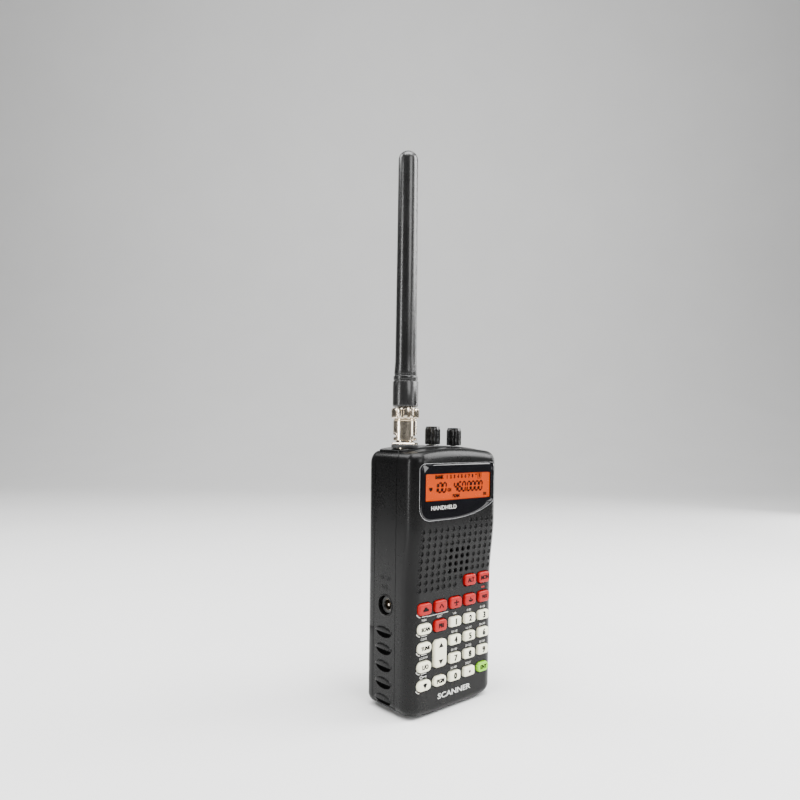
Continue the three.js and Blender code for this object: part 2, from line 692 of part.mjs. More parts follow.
[['volume', VOLUME_X], ['squelch', SQUELCH_X]].forEach(([name, x]) => {
  piece(`${name}_knob`, knob(x), FINISH.black);
  piece(`${name}_shaft`, shaft(x), FINISH.steel);
  piece(`${name}_pot`, pot(x), FINISH.steel);
});

piece('bnc_jack', bncJack(), FINISH.nickel);
piece('bnc_nut', bncNut(), FINISH.nickel);
piece('bayonet_ring', bayonetRing(), FINISH.nickel);
piece('antenna_plug', antennaPlug(), FINISH.nickel);
piece('antenna_whip', antennaWhip(), FINISH.rubber);

piece('power_jack', powerJack(), FINISH.satin);
const sideBore = bar('x', DATA_JACK.bore, 22, 20, [DATA_JACK.y, DATA_JACK.z], 12);
const sideStart = DATA_JACK.x - DATA_JACK.depth;
const sideSocket = roundSocket('x', sideStart, [DATA_JACK.y, DATA_JACK.z], sideBore);
piece('data_jack', sideSocket, FINISH.satin);
const topBore = bar('z', DATA_JACK.bore, 126, 20, [HEADPHONE_X, TOP_Y], 12);
const topStart = deckAt(HEADPHONE_X) - DATA_JACK.depth - 0.4;
const topSocket = roundSocket('z', topStart, [HEADPHONE_X, TOP_Y], topBore);
piece('headphone_jack', topSocket, FINISH.satin);

piece('battery_tray', tray(), FINISH.satin);
[0, 1, 2, 3].forEach((index) => piece(`battery_cell_${index + 1}`, cell(index), FINISH.cell));

piece('belt_clip', beltClip(), FINISH.satin);
CLIP_SCREWS_Z.forEach((z, index) => piece(`clip_screw_${index + 1}`, clipScrew(z), FINISH.steel));

export default group;
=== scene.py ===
import json
import math

import bmesh
import bpy
from mathutils import Matrix, Quaternion, Vector

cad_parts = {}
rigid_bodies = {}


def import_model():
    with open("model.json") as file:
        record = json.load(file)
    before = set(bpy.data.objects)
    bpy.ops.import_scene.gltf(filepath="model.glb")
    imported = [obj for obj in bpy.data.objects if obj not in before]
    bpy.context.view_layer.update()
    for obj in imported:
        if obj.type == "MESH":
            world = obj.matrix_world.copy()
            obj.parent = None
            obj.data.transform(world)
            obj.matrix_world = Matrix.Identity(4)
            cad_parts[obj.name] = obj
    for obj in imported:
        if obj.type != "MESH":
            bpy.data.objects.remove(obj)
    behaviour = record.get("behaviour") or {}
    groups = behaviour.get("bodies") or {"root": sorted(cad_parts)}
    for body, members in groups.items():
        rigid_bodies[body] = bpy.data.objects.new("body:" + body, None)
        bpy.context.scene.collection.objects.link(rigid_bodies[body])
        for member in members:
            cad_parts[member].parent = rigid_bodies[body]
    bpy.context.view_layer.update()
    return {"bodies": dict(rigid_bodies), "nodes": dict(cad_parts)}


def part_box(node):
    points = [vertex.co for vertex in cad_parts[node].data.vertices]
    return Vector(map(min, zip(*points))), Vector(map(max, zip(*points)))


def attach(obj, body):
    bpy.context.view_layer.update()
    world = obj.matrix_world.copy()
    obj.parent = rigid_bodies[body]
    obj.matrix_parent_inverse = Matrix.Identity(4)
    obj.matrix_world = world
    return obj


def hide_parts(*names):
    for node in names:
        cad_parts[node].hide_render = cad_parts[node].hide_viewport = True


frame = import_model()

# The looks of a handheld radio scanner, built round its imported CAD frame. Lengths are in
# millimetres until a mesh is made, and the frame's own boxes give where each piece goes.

MM = 0.001


# ---------------------------------------------------------------- the frame, in millimetres

def box(node):
    low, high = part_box(node)
    return Vector(low) / MM, Vector(high) / MM


def centre(node):
    low, high = box(node)
    return (low + high) / 2


FRONT_LOW, FRONT_HIGH = box("front_case")
REAR_LOW, REAR_HIGH = box("rear_case")
HALF_WIDTH = FRONT_HIGH.x
HEIGHT = 136.0
DECK_RISE = 1.0
HEAD_FACE = FRONT_LOW.y
KEYPAD_FACE = HEAD_FACE + 2.5
BACK_FACE = REAR_HIGH.y
STEP_LOW, STEP_HIGH = 66.0, 98.0
FRONT_CORNER, BACK_CORNER = 7.0, 5.0
WALL = 1.6
BASE_FLAT, BASE_ARCH, TOP_ARCH = 12.0, 2.2, 2.6
BASE_END = (4.0, 4.0, 4.5)
TOP_END = (3.6, 4.5, 6.0)
SEAM_FRONT = FRONT_HIGH.y
SEAM_REAR = REAR_LOW.y
KEY_FLANGE = 0.5


# ---------------------------------------------------------------- mesh helpers

def make_object(name, mesh):
    obj = bpy.data.objects.new(name, mesh)
    bpy.context.scene.collection.objects.link(obj)
    return obj


def from_bmesh(name, bm):
    """A Blender object, in metres, from a bmesh in millimetres."""
    bmesh.ops.recalc_face_normals(bm, faces=bm.faces)
    bmesh.ops.scale(bm, vec=(MM, MM, MM), verts=bm.verts)
    mesh = bpy.data.meshes.new(name)
    bm.to_mesh(mesh)
    bm.free()
    return make_object(name, mesh)


def add_rings(bm, rings, close_ends=True):
    """Joins rings of points, each with the same count, into one closed skin."""
    loops = [[bm.verts.new(p) for p in ring] for ring in rings]
    count = len(loops[0])
    for low, high in zip(loops, loops[1:]):
        for i in range(count):
            j = (i + 1) % count
            bm.faces.new((low[i], low[j], high[j], high[i]))
    if close_ends:
        bm.faces.new(list(reversed(loops[0])))
        bm.faces.new(loops[-1])


def add_turned(bm, profile, steps=48, origin=(0, 0, 0), axis="Z"):
    """A turned solid; profile is (radius, height) from the axis round to the axis again, or closed."""
    turn = {"Z": Matrix.Identity(3), "Y": Matrix.Rotation(math.radians(-90), 3, "X"),
            "X": Matrix.Rotation(math.radians(90), 3, "Y")}[axis]
    place = Vector(origin)
    columns = []
    for r, h in profile:
        if r < 1e-6:
            columns.append([bm.verts.new(turn @ Vector((0, 0, h)) + place)])
            continue
        ring = []
        for i in range(steps):
            a = 2 * math.pi * i / steps
            ring.append(bm.verts.new(turn @ Vector((r * math.cos(a), r * math.sin(a), h)) + place))
        columns.append(ring)
    pairs = list(zip(columns, columns[1:]))
    if profile[0][0] > 1e-6:
        pairs.append((columns[-1], columns[0]))
    for low, high in pairs:
        for i in range(steps):
            j = (i + 1) % steps
            corners = [low[i % len(low)], low[j % len(low)], high[j % len(high)], high[i % len(high)]]
            face = [v for k, v in enumerate(corners) if v not in corners[:k]]
            if len(face) > 2:
                bm.faces.new(face)


def rounded_rect(w, h, r, steps=6, cx=0.0, cz=0.0):
    """Points of a rounded rectangle in front view, anticlockwise."""
    r = min(r, w / 2 - 1e-3, h / 2 - 1e-3)
    points = []
    for sx, sz, start in ((1, -1, -90), (1, 1, 0), (-1, 1, 90), (-1, -1, 180)):
        for i in range(steps + 1):
            a = math.radians(start + 90 * i / steps)
            points.append((cx + sx * (w / 2 - r) + r * math.cos(a), cz + sz * (h / 2 - r) + r * math.sin(a)))
    return points


def prism(bm, outline, y0, y1):
    """A front-view outline made solid between two depths."""
    add_rings(bm, [[(x, y, z) for x, z in outline] for y in (y0, y1)])


def skin(name, rings):
    """An object whose closed skin runs through the rings."""
    bm = bmesh.new()
    add_rings(bm, rings)
    return from_bmesh(name, bm)


def slab(name, outline, y0, y1):
    """An object with one outline in front view."""
    bm = bmesh.new()
    prism(bm, outline, y0, y1)
    return from_bmesh(name, bm)


def turned(name, profile, steps=48, origin=(0, 0, 0), axis="Z"):
    """An object turned from its profile."""
    bm = bmesh.new()
    add_turned(bm, profile, steps, origin, axis)
    return from_bmesh(name, bm)


def block(low, high):
    bm = bmesh.new()
    low, high = Vector(low), Vector(high)
    made = bmesh.ops.create_cube(bm, size=1.0)
    bmesh.ops.scale(bm, vec=high - low, verts=made["verts"])
    bmesh.ops.translate(bm, vec=(low + high) / 2, verts=made["verts"])
    return bm


def apply_modifiers(obj):
    bpy.context.view_layer.update()
    evaluated = obj.evaluated_get(bpy.context.evaluated_depsgraph_get())
    mesh = bpy.data.meshes.new_from_object(evaluated)
    obj.modifiers.clear()
    obj.data = mesh


def boolean(obj, tool, operation="DIFFERENCE"):
    """Cuts obj with, joins it to or crops it by another object, or by a bmesh in millimetres."""
    if not isinstance(tool, bpy.types.Object):
        tool = from_bmesh("tool", tool)
    modifier = obj.modifiers.new("cut", "BOOLEAN")
    modifier.operation = operation
    modifier.object = tool
    modifier.solver = "MANIFOLD"
    apply_modifiers(obj)
    bpy.data.objects.remove(tool)


def smooth_shade(obj, angle=32):
    obj.data.shade_smooth()
    bm = bmesh.new()
    bm.from_mesh(obj.data)
    limit = math.radians(angle)
    for edge in bm.edges:
        if len(edge.link_faces) == 2:
            edge.smooth = edge.calc_face_angle(0.0) < limit
    bm.to_mesh(obj.data)
    bm.free()


def bevel(obj, width, segments=2, angle=35):
    modifier = obj.modifiers.new("edge", "BEVEL")
    modifier.width = width * MM
    modifier.segments = segments
    modifier.limit_method = "ANGLE"
    modifier.angle_limit = math.radians(angle)
    modifier.use_clamp_overlap = True
    apply_modifiers(obj)


def finish(obj, body, material, slot, *nodes, angle=32):
    """Shades a piece, gives it its material, and ties it to its body and the CAD nodes it stands for."""
    smooth_shade(obj, angle)
    obj.data.materials.clear()
    obj.data.materials.append(material)
    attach(obj, body)
    if nodes:
        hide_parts(*nodes)
    return obj


# ---------------------------------------------------------------- materials

def new_material(name, colour, roughness, metallic=0.0):
    material = bpy.data.materials.new(name)
    material.use_nodes = True
    shader = material.node_tree.nodes["Principled BSDF"]
    shader.inputs["Base Color"].default_value = (*colour, 1)
    shader.inputs["Roughness"].default_value = roughness
    shader.inputs["Metallic"].default_value = metallic
    return material, material.node_tree, shader


def noise(tree, scale, detail=4.0, stretch=(1, 1, 1)):
    """A noise texture, scale in features per metre, laid out in the piece's own space."""
    place = tree.nodes.new("ShaderNodeTexCoord")
    mapping = tree.nodes.new("ShaderNodeMapping")
    mapping.inputs["Scale"].default_value = stretch
    texture = tree.nodes.new("ShaderNodeTexNoise")
    texture.inputs["Scale"].default_value = scale
    texture.inputs["Detail"].default_value = detail
    tree.links.new(place.outputs["Object"], mapping.inputs["Vector"])
    tree.links.new(mapping.outputs["Vector"], texture.inputs["Vector"])
    return texture.outputs["Fac"]


def remap(tree, value, low, high, start=0.3, end=0.7):
    node = tree.nodes.new("ShaderNodeMapRange")
    node.inputs["From Min"].default_value = start
    node.inputs["From Max"].default_value = end
    node.inputs["To Min"].default_value = low
    node.inputs["To Max"].default_value = high
    tree.links.new(value, node.inputs["Value"])
    return node.outputs["Result"]


def blend_colours(tree, value, low, high):
    node = tree.nodes.new("ShaderNodeMix")
    node.data_type = "RGBA"
    node.inputs["A"].default_value = (*low, 1)
    node.inputs["B"].default_value = (*high, 1)
    tree.links.new(value, node.inputs["Factor"])
    return node.outputs["Result"]


def bump(tree, shader, heights, distance=0.00005, strength=0.4):
    """Adds a stack of fine relief: heights are values from 0 to 1."""
    last = None
    for height in heights:
        node = tree.nodes.new("ShaderNodeBump")
        node.inputs["Strength"].default_value = strength
        node.inputs["Distance"].default_value = distance
        tree.links.new(height, node.inputs["Height"])
        if last:
            tree.links.new(last, node.inputs["Normal"])
        last = node.outputs["Normal"]
    tree.links.new(last, shader.inputs["Normal"])


def textured(name, colour, variation, roughness, grain, relief, metallic=0.0, wear=0.06, stretch=(1, 1, 1),
             specular=0.5):
    """A moulded or cast surface: fine grain in its relief, and slow changes in its colour and gloss."""
    material, tree, shader = new_material(name, colour, roughness, metallic)
    slow = noise(tree, 45, 3)
    mid = noise(tree, grain / 6, 5, stretch)
    fine = noise(tree, grain, 6, stretch)
    darker = tuple(c * (1 - variation) for c in colour)
    lighter = tuple(min(1, c * (1 + variation)) for c in colour)
    tone = blend_colours(tree, remap(tree, slow, 0, 1), darker, lighter)
    tree.links.new(tone, shader.inputs["Base Color"])
    spread = tree.nodes.new("ShaderNodeMath")
    spread.operation = "MULTIPLY_ADD"
    spread.inputs[1].default_value = 0.5
    tree.links.new(remap(tree, mid, roughness - wear, roughness + wear), spread.inputs[0])
    tree.links.new(remap(tree, slow, (roughness - wear) / 2, (roughness + wear) / 2), spread.inputs[2])
    tree.links.new(spread.outputs[0], shader.inputs["Roughness"])
    bump(tree, shader, [fine], relief * MM, 0.5)
    shader.inputs["Specular IOR Level"].default_value = specular
    return material


def rubber_key(name, colour):
    material = textured(name, colour, 0.05, 0.42, 4000, 0.012, specular=0.25)
    shader = material.node_tree.nodes["Principled BSDF"]
    shader.inputs["Subsurface Weight"].default_value = 0.06
    shader.inputs["Subsurface Radius"].default_value = (0.001, 0.0008, 0.0006)
    shader.inputs["Subsurface Scale"].default_value = 0.6
    return material


def window_material():
    material, tree, shader = new_material("window_acrylic", (1, 1, 1), 0.02)
    shader.inputs["Transmission Weight"].default_value = 1.0
    shader.inputs["IOR"].default_value = 1.14
    roughness = remap(tree, noise(tree, 300, 3), 0.01, 0.04)
    tree.links.new(roughness, shader.inputs["Roughness"])
    return material


def amber_material():
    """The backlit panel: a slightly uneven glow, strongest where the lamps are."""
    material, tree, shader = new_material("lcd_amber", (0.5, 0.1, 0.01), 0.5)
    shader.inputs["Specular IOR Level"].default_value = 0.1
    glow = remap(tree, noise(tree, 35, 2), 0, 1)
    colour = blend_colours(tree, glow, (0.36, 0.036, 0.0), (0.41, 0.044, 0.0))
    tree.links.new(colour, shader.inputs["Base Color"])
    tree.links.new(colour, shader.inputs["Emission Color"])
    shader.inputs["Emission Strength"].default_value = 0.75
    return material


def print_material(name, colour):
    return textured(name, colour, 0.04, 0.55, 2500, 0.004, specular=0.08)


CASE = textured("case_abs", (0.0030, 0.0030, 0.0031), 0.2, 0.28, 5200, 0.005, wear=0.03, specular=0.17)
DOOR = textured("door_abs", (0.0045, 0.0045, 0.0046), 0.15, 0.36, 4200, 0.012, wear=0.03, specular=0.2)
# Finger-pocket insides: a rough matte finish, darker than the case as painted shade for the shadow under each
# brow
POCKET_SHADE = textured("pocket_painted_shade", (0.0012, 0.0012, 0.0012), 0.2, 0.8, 3000, 0.03, specular=0.03)
IVORY = rubber_key("key_ivory_rubber", (0.93, 0.92, 0.70))
RED = rubber_key("key_red_rubber", (0.34, 0.002, 0.002))
GREEN = rubber_key("key_green_rubber", (0.23, 0.58, 0.020))
WHIP = textured("whip_rubber", (0.008, 0.008, 0.008), 0.2, 0.27, 3600, 0.008, wear=0.04, stretch=(1, 1, 0.25))
NICKEL = textured("nickel_plate", (0.66, 0.58, 0.47), 0.12, 0.20, 2600, 0.008, 1.0, 0.08)
SCREW_STEEL = textured("screw_steel", (0.10, 0.10, 0.105), 0.2, 0.32, 3000, 0.01, 1.0)
LENS = textured("lens_border", (0.004, 0.004, 0.005), 0.1, 0.045, 900, 0.002, wear=0.015, specular=0.30)
WINDOW = window_material()
AMBER = amber_material()
KNOB = textured("knob_gloss", (0.010, 0.010, 0.010), 0.2, 0.16, 1800, 0.006)
SOCKET = textured("socket_nylon", (0.012, 0.012, 0.012), 0.2, 0.5, 3000, 0.02)
WHITE_INK = print_material("white_ink", (0.64, 0.64, 0.61))
BLACK_INK = print_material("black_ink", (0.004, 0.004, 0.004))
SEGMENT_INK = print_material("segment_ink", (0.008, 0.002, 0.001))
RIM_SILVER = textured("rim_silver", (0.42, 0.42, 0.43), 0.1, 0.3, 2600, 0.006, 0.9)


# ---------------------------------------------------------------- the case form

def smooth_step(t):
    t = min(1.0, max(0.0, t))
    return t * t * (3 - 2 * t)


def front_face(z):
    return KEYPAD_FACE + (HEAD_FACE - KEYPAD_FACE) * smooth_step((z - STEP_LOW) / (STEP_HIGH - STEP_LOW))


def top_at(x):
    return HEIGHT - TOP_ARCH * (x / HALF_WIDTH) ** 2


def base_at(x):
    return BASE_ARCH * (max(0.0, abs(x) - BASE_FLAT) / (HALF_WIDTH - BASE_FLAT)) ** 2


def half_section(half_width, rx, ry, corner_steps, face_steps):
    points = []
    for i in range(corner_steps + 1):
        a = math.pi / 2 * i / corner_steps
        points.append((-half_width + rx * (1 - math.cos(a)), ry * (1 - math.sin(a))))
    for i in range(1, face_steps):
        points.append(((half_width - rx) * (2 * i / face_steps - 1), 0.0))
    for i in range(corner_steps, -1, -1):
        a = math.pi / 2 * i / corner_steps
        points.append((half_width - rx * (1 - math.cos(a)), ry * (1 - math.sin(a))))
    return points


def level(share, inset, in_x, in_y, corner_steps, face_steps):
    half_width = HALF_WIDTH - inset - in_x
    sections = []
    for corner in (FRONT_CORNER, BACK_CORNER):
        rx = max(corner - inset - in_x / 2, 1)
        ry = max(corner - inset - in_y, 1)
        sections.append(half_section(half_width, rx, ry, corner_steps, face_steps))
    ring = []
    for x, y in sections[0]:
        low, high = base_at(x) + inset, top_at(x) - inset
        z = low + (high - low) * share
        ring.append(Vector((x, front_face(z) + inset + in_y + y, z)))
    for x, y in reversed(sections[1]):
        low, high = base_at(x) + inset, top_at(x) - inset
        z = low + (high - low) * share
        ring.append(Vector((x, BACK_FACE - inset - in_y - y, z)))
    return ring


def case_form(inset=0.0, raise_by=0.0, corner_steps=10, face_steps=24, end_steps=10):
    """The outer form of the case as a bmesh, or with an inset the form of its hollow."""
    tall = HEIGHT - 2 * inset

    def rounding(end):
        side, depth, rise = (v - inset for v in end)
        rows = []
        for k in range(end_steps + 1):
            a = math.pi / 2 * (1 - k / end_steps)
            draw_in = 1 - math.cos(a)
            rows.append((rise * (1 - math.sin(a)) / tall, side * draw_in, depth * draw_in))
        return rows

    middle = [20, 35, 50] + [STEP_LOW + 2 * i for i in range(17)] + [108, 118]
    rows = rounding(BASE_END) + [((z - inset) / tall, 0, 0) for z in middle]
    rows += [(1 - share, in_x, in_y) for share, in_x, in_y in reversed(rounding(TOP_END))]
    bm = bmesh.new()
    rings = [level(share, inset, in_x, in_y, corner_steps, face_steps) for share, in_x, in_y in rows]
    rings = [[p + Vector((0, 0, raise_by)) for p in ring] for ring in rings]
    add_rings(bm, rings, close_ends=False)
    bm.verts.ensure_lookup_table()
    count = len(rings[0])
    last = (len(rings) - 1) * count
    verts = bm.verts
    for i in range(count // 2 - 1):
        bm.faces.new([verts[k] for k in (count - 1 - i, count - 2 - i, i + 1, i)])
        bm.faces.new([verts[last + k] for k in (i, i + 1, count - 2 - i, count - 1 - i)])
    return bm


# ---------------------------------------------------------------- outlines and marks

LENS_LOW, LENS_HIGH = box("display_lens")
LENS_SWEEP = 7.4
LCD_LOW, LCD_HIGH = box("lcd_panel")
LCD_WIDTH, LCD_TALL = LCD_HIGH.x - LCD_LOW.x, LCD_HIGH.z - LCD_LOW.z
WINDOW_Z = (LCD_LOW.z + LCD_HIGH.z) / 2
WINDOW_W, WINDOW_H = 47.0, 13.6
INSIDE = -10.0  # a depth inside the case, well behind the lens


def arc(cx, cz, r, start, end, steps):
    return [(cx + r * math.cos(math.radians(start + (end - start) * i / steps)),
             cz + r * math.sin(math.radians(start + (end - start) * i / steps))) for i in range(steps + 1)]


def bezier(p0, p1, p2, p3, steps):
    points = []
    for i in range(steps + 1):
        t = i / steps
        a, b, c, d = (1 - t) ** 3, 3 * t * (1 - t) ** 2, 3 * t * t * (1 - t), t ** 3
        points.append(tuple(a * p0[k] + b * p1[k] + c * p2[k] + d * p3[k] for k in (0, 1)))
    return points


def lens_outline(inset=(0, 0, 0, 0), radii=(3.0, 3.0, 7.0, 2.4)):
    """The lens in front view, anticlockwise; inset is left, right, low, top, and radii are for the
    top right, top left, bottom left and bottom right corners."""
    left, right, low, top = inset
    x0, x1 = LENS_LOW.x + left, LENS_HIGH.x - right
    z0, z1 = LENS_LOW.z + low, LENS_HIGH.z - top
    z_right = LENS_LOW.z + LENS_SWEEP + low
    r_tr, r_tl, r_bl, r_br = radii
    points = bezier((-6, z0), (8, z0), (20, z_right - 3.6), (x1 - r_br * 0.7, z_right - 0.4), 22)
    points += bezier((x1 - r_br * 0.7, z_right - 0.4), (x1 - 0.3, z_right), (x1, z_right + 0.3),
                     (x1, z_right + r_br), 6)[1:]
    points += arc(x1 - r_tr, z1 - r_tr, r_tr, 0, 90, 10)
    points += arc(x0 + r_tl, z1 - r_tl, r_tl, 90, 180, 10)
    points += bezier((x0, z0 + r_bl), (x0, z0 + r_bl * 0.36), (x0 + r_bl * 0.36, z0), (x0 + r_bl, z0), 10)
    return points


def grown(outline, amount):
    """The outline moved outwards, or inwards for a negative amount."""
    count = len(outline)
    moved = []
    for i, (x, z) in enumerate(outline):
        (ax, az), (bx, bz) = outline[i - 1], outline[(i + 1) % count]
        dx, dz = bx - ax, bz - az
        length = math.hypot(dx, dz) or 1.0
        moved.append((x + amount * dz / length, z - amount * dx / length))
    return moved


def surface_y(x, z):
    """Depth of the case's front face at a point of the front view."""
    over = max(0.0, abs(x) - (HALF_WIDTH - FRONT_CORNER))
    return front_face(z) + FRONT_CORNER - math.sqrt(max(0.0, FRONT_CORNER ** 2 - over ** 2))


def add_text(bm, text, size, x, z, y, squeeze=0.9, weight=0.0, align="CENTER", thick=0.03, facing=None):
    """Flat lettering facing the front, or turned by the matrix facing about its own middle."""
    curve = bpy.data.curves.new("text", "FONT")
    curve.body = text
    curve.size = size
    curve.align_x = align
    curve.align_y = "CENTER"
    curve.extrude = thick
    curve.offset = weight
    curve.resolution_u = 3
    obj = make_object("text", curve)
    bpy.context.view_layer.update()
    evaluated = obj.evaluated_get(bpy.context.evaluated_depsgraph_get())
    mesh = bpy.data.meshes.new_from_object(evaluated)
    turn = Matrix.Rotation(math.radians(90), 4, "X")
    place = Matrix.Translation((x, y, z)) @ (facing or Matrix.Identity(4)) @ turn
    mesh.transform(place @ Matrix.Diagonal((squeeze, 1, 1, 1)))
    bm.from_mesh(mesh)
    bpy.data.objects.remove(obj)
    bpy.data.meshes.remove(mesh)


def add_flat(bm, outline, y, thick=0.03):
    prism(bm, outline, y - thick, y + thick)


def add_stroke(bm, points, width, y, thick=0.03):
    """A drawn line of even width through points of the front view."""
    left, right = [], []
    for i, (x, z) in enumerate(points):
        ax, az = points[max(i - 1, 0)]
        bx, bz = points[min(i + 1, len(points) - 1)]
        dx, dz = bx - ax, bz - az
        length = math.hypot(dx, dz) or 1.0
        nx, nz = -dz / length * width / 2, dx / length * width / 2
        left.append((x + nx, z + nz))
        right.append((x - nx, z - nz))
    for i in range(len(points) - 1):
        quad = [left[i], right[i], right[i + 1], left[i + 1]]
        prism(bm, quad, y - thick, y + thick)


# ---------------------------------------------------------------- front case

KEY_BODIES = sorted(name for name in frame["bodies"] if name.startswith("key_"))
SPEAKER = centre("speaker_frame")
DIMPLE_PITCH_X, DIMPLE_PITCH_Z, DIMPLE_TOP = 4.15, 3.7, 94.5
DIMPLE = [(1.75, -0.7), (1.52, -0.2), (1.38, -0.04), (1.29, 0.08), (1.22, 0.3), (1.05, 0.58), (0.62, 0.78)]


def key_size(node):
    low, high = box(node)
    return high.x - low.x - 2 * KEY_FLANGE, high.z - low.z - 2 * KEY_FLANGE


def key_radius(node):
    if node in ("key_enter", "key_program"):
        return 2.4
    if node in ("key_scan", "key_tune", "key_lockout", "key_light", "rocker_key"):
        return 2.2
    return 1.7 if key_size(node)[1] > 5.5 else 1.25


def dimple_places():
    """Thirteen columns and nine rows, short beside the upper red keys, with a part row under the lens."""
    for row in range(-1, 9):
        for column in range(13):
            if (row < 0 and column < 8) or (row == 7 and column > 7) or (row == 8 and column > 6):
                continue
            yield (column - 6) * DIMPLE_PITCH_X, DIMPLE_TOP - row * DIMPLE_PITCH_Z


def build_front_case():
    shell = from_bmesh("front_shell", case_form())
    boolean(shell, case_form(WALL, corner_steps=6, face_steps=12, end_steps=6))
    seat = slab("seat", grown(lens_outline(), 1.2), HEAD_FACE + 1, HEAD_FACE + 3.6)
    boolean(seat, case_form(0.4), "INTERSECT")
    boolean(shell, seat, "UNION")
    boolean(shell, block((-60, -60, -10), (60, SEAM_FRONT, 200)), "INTERSECT")
    boolean(shell, slab("recess", grown(lens_outline(), 0.3), HEAD_FACE - 5, HEAD_FACE + 2.1))
    opening = rounded_rect(LCD_WIDTH + 0.6, LCD_TALL + 0.6, 0.6, cz=WINDOW_Z)
    boolean(shell, slab("opening", opening, HEAD_FACE - 4, INSIDE))
    openings = bmesh.new()
    for node in KEY_BODIES + ["rocker_key"]:
        place = centre(node)
        w, h = key_size(node)
        r = key_radius(node)
        rings = []
        for depth, grow in ((-2.0, 0.9), (0.0, 0.62), (0.12, 0.42), (0.35, 0.3), (4.0, 0.3)):
            outline = rounded_rect(w + 2 * grow, h + 2 * grow, r + grow, 5, place.x, place.z)
            rings.append([(x, KEYPAD_FACE + depth, z) for x, z in outline])
        add_rings(openings, rings)
    boolean(shell, openings)
    dimples = bmesh.new()
    holes = bmesh.new()
    for x, z in dimple_places():
        y = surface_y(x, z)
        profile = [(0, -0.7)] + DIMPLE + [(0, 0.84)]
        add_turned(dimples, profile, 20, (x, y, z), "Y")
        if math.hypot((x - SPEAKER.x) / 1.25, z - SPEAKER.z + 4.6) < 8.4:
            add_turned(holes, [(0, -1), (1.0, -1), (1.0, 5), (0, 5)], 16, (x, y, z), "Y")
    boolean(shell, dimples)
    boolean(shell, holes)
    return finish(shell, "case", CASE, "case", "front_case", angle=28)


# ---------------------------------------------------------------- lens and display

TRIM_INSET = (0.55, 2.3, 0.55, 0.75)
TRIM_RADII = (2.2, 9.5, 7.2, 5.5)


def build_lens():
    outer = lens_outline()
    inner = lens_outline(TRIM_INSET, TRIM_RADII)
    face = HEAD_FACE + 0.03
    shoulder = []
    for (ox, oz), (ix, iz) in zip(outer, inner):
        x, z = ox + 0.2 * (ix - ox), oz + 0.2 * (iz - oz)
        shoulder.append((x, face + 0.06 + 0.10 * math.hypot(ix - ox, iz - oz), z))
    rings = [[(x, HEAD_FACE + 1.9, z) for x, z in outer],
             [(x, surface_y(x, z) + 0.35, z) for x, z in outer],
             shoulder,
             [(x, face + 0.06, z) for x, z in grown(inner, 0.06)],
             [(x, face, z) for x, z in grown(inner, -0.1)]]
    border = skin("lens_border", rings)
    boolean(border, slab("pane", rounded_rect(WINDOW_W, WINDOW_H, 0.5, cz=WINDOW_Z), HEAD_FACE - 2, INSIDE))
    finish(border, "case", LENS, "lens", "display_lens", angle=10)
    glass = rounded_rect(WINDOW_W - 0.02, WINDOW_H - 0.02, 0.5, cz=WINDOW_Z)
    finish(slab("lens_window", glass, face, HEAD_FACE + 0.4), "case", WINDOW, "lens")

    rim = bmesh.new()
    outside, inside = grown(outer, 0.26), grown(outer, 0.03)
    rows = [[(x, surface_y(x, z) + 0.6, z) for x, z in outside],
            [(x, surface_y(x, z) + 0.04, z) for x, z in outside],
            [(x, surface_y(x, z) + 0.04, z) for x, z in inside],
            [(x, surface_y(x, z) + 0.6, z) for x, z in inside]]
    add_rings(rim, rows + [rows[0]], close_ends=False)
    bmesh.ops.remove_doubles(rim, verts=rim.verts, dist=1e-5)
    finish(from_bmesh("lens_rim", rim), "case", RIM_SILVER, "lens")


# Which of the seven segments, top, upper right, lower right, bottom, lower left, upper left, middle
SEGMENTS = {"0": "TRrBlL", "1": "Rr", "2": "TRMlB", "3": "TRMrB", "4": "LMRr", "5": "TLMrB",
            "6": "TLMlBr", "7": "TRr", "8": "TRrBlLM", "9": "TRrBLM"}


def add_digit(bm, digit, x, z, w, h, y):
    """A slanted seven-segment figure with its lower left corner at x, z."""
    t = 0.98
    lean = 0.10
    half = h / 2
    places = {"T": (0, h, w, h), "M": (0, half, w, half), "B": (0, 0, w, 0), "L": (0, half, 0, h),
              "l": (0, 0, 0, half), "R": (w, half, w, h), "r": (w, 0, w, half)}
    for key in SEGMENTS[digit]:
        x0, z0, x1, z1 = places[key]
        dx, dz = (x1 - x0), (z1 - z0)
        length = math.hypot(dx, dz)
        ux, uz = dx / length, dz / length
        gap = 0.08
        points = []
        for along, across in ((gap, 0), (gap + t / 2, -t / 2), (length - gap - t / 2, -t / 2),
                              (length - gap, 0), (length - gap - t / 2, t / 2), (gap + t / 2, t / 2)):
            px = x0 + ux * along - uz * across
            pz = z0 + uz * along + ux * across
            points.append((x + px + lean * pz, z + pz))
        add_flat(bm, points, y, 0.02)


LCD_LIFT = 1.65


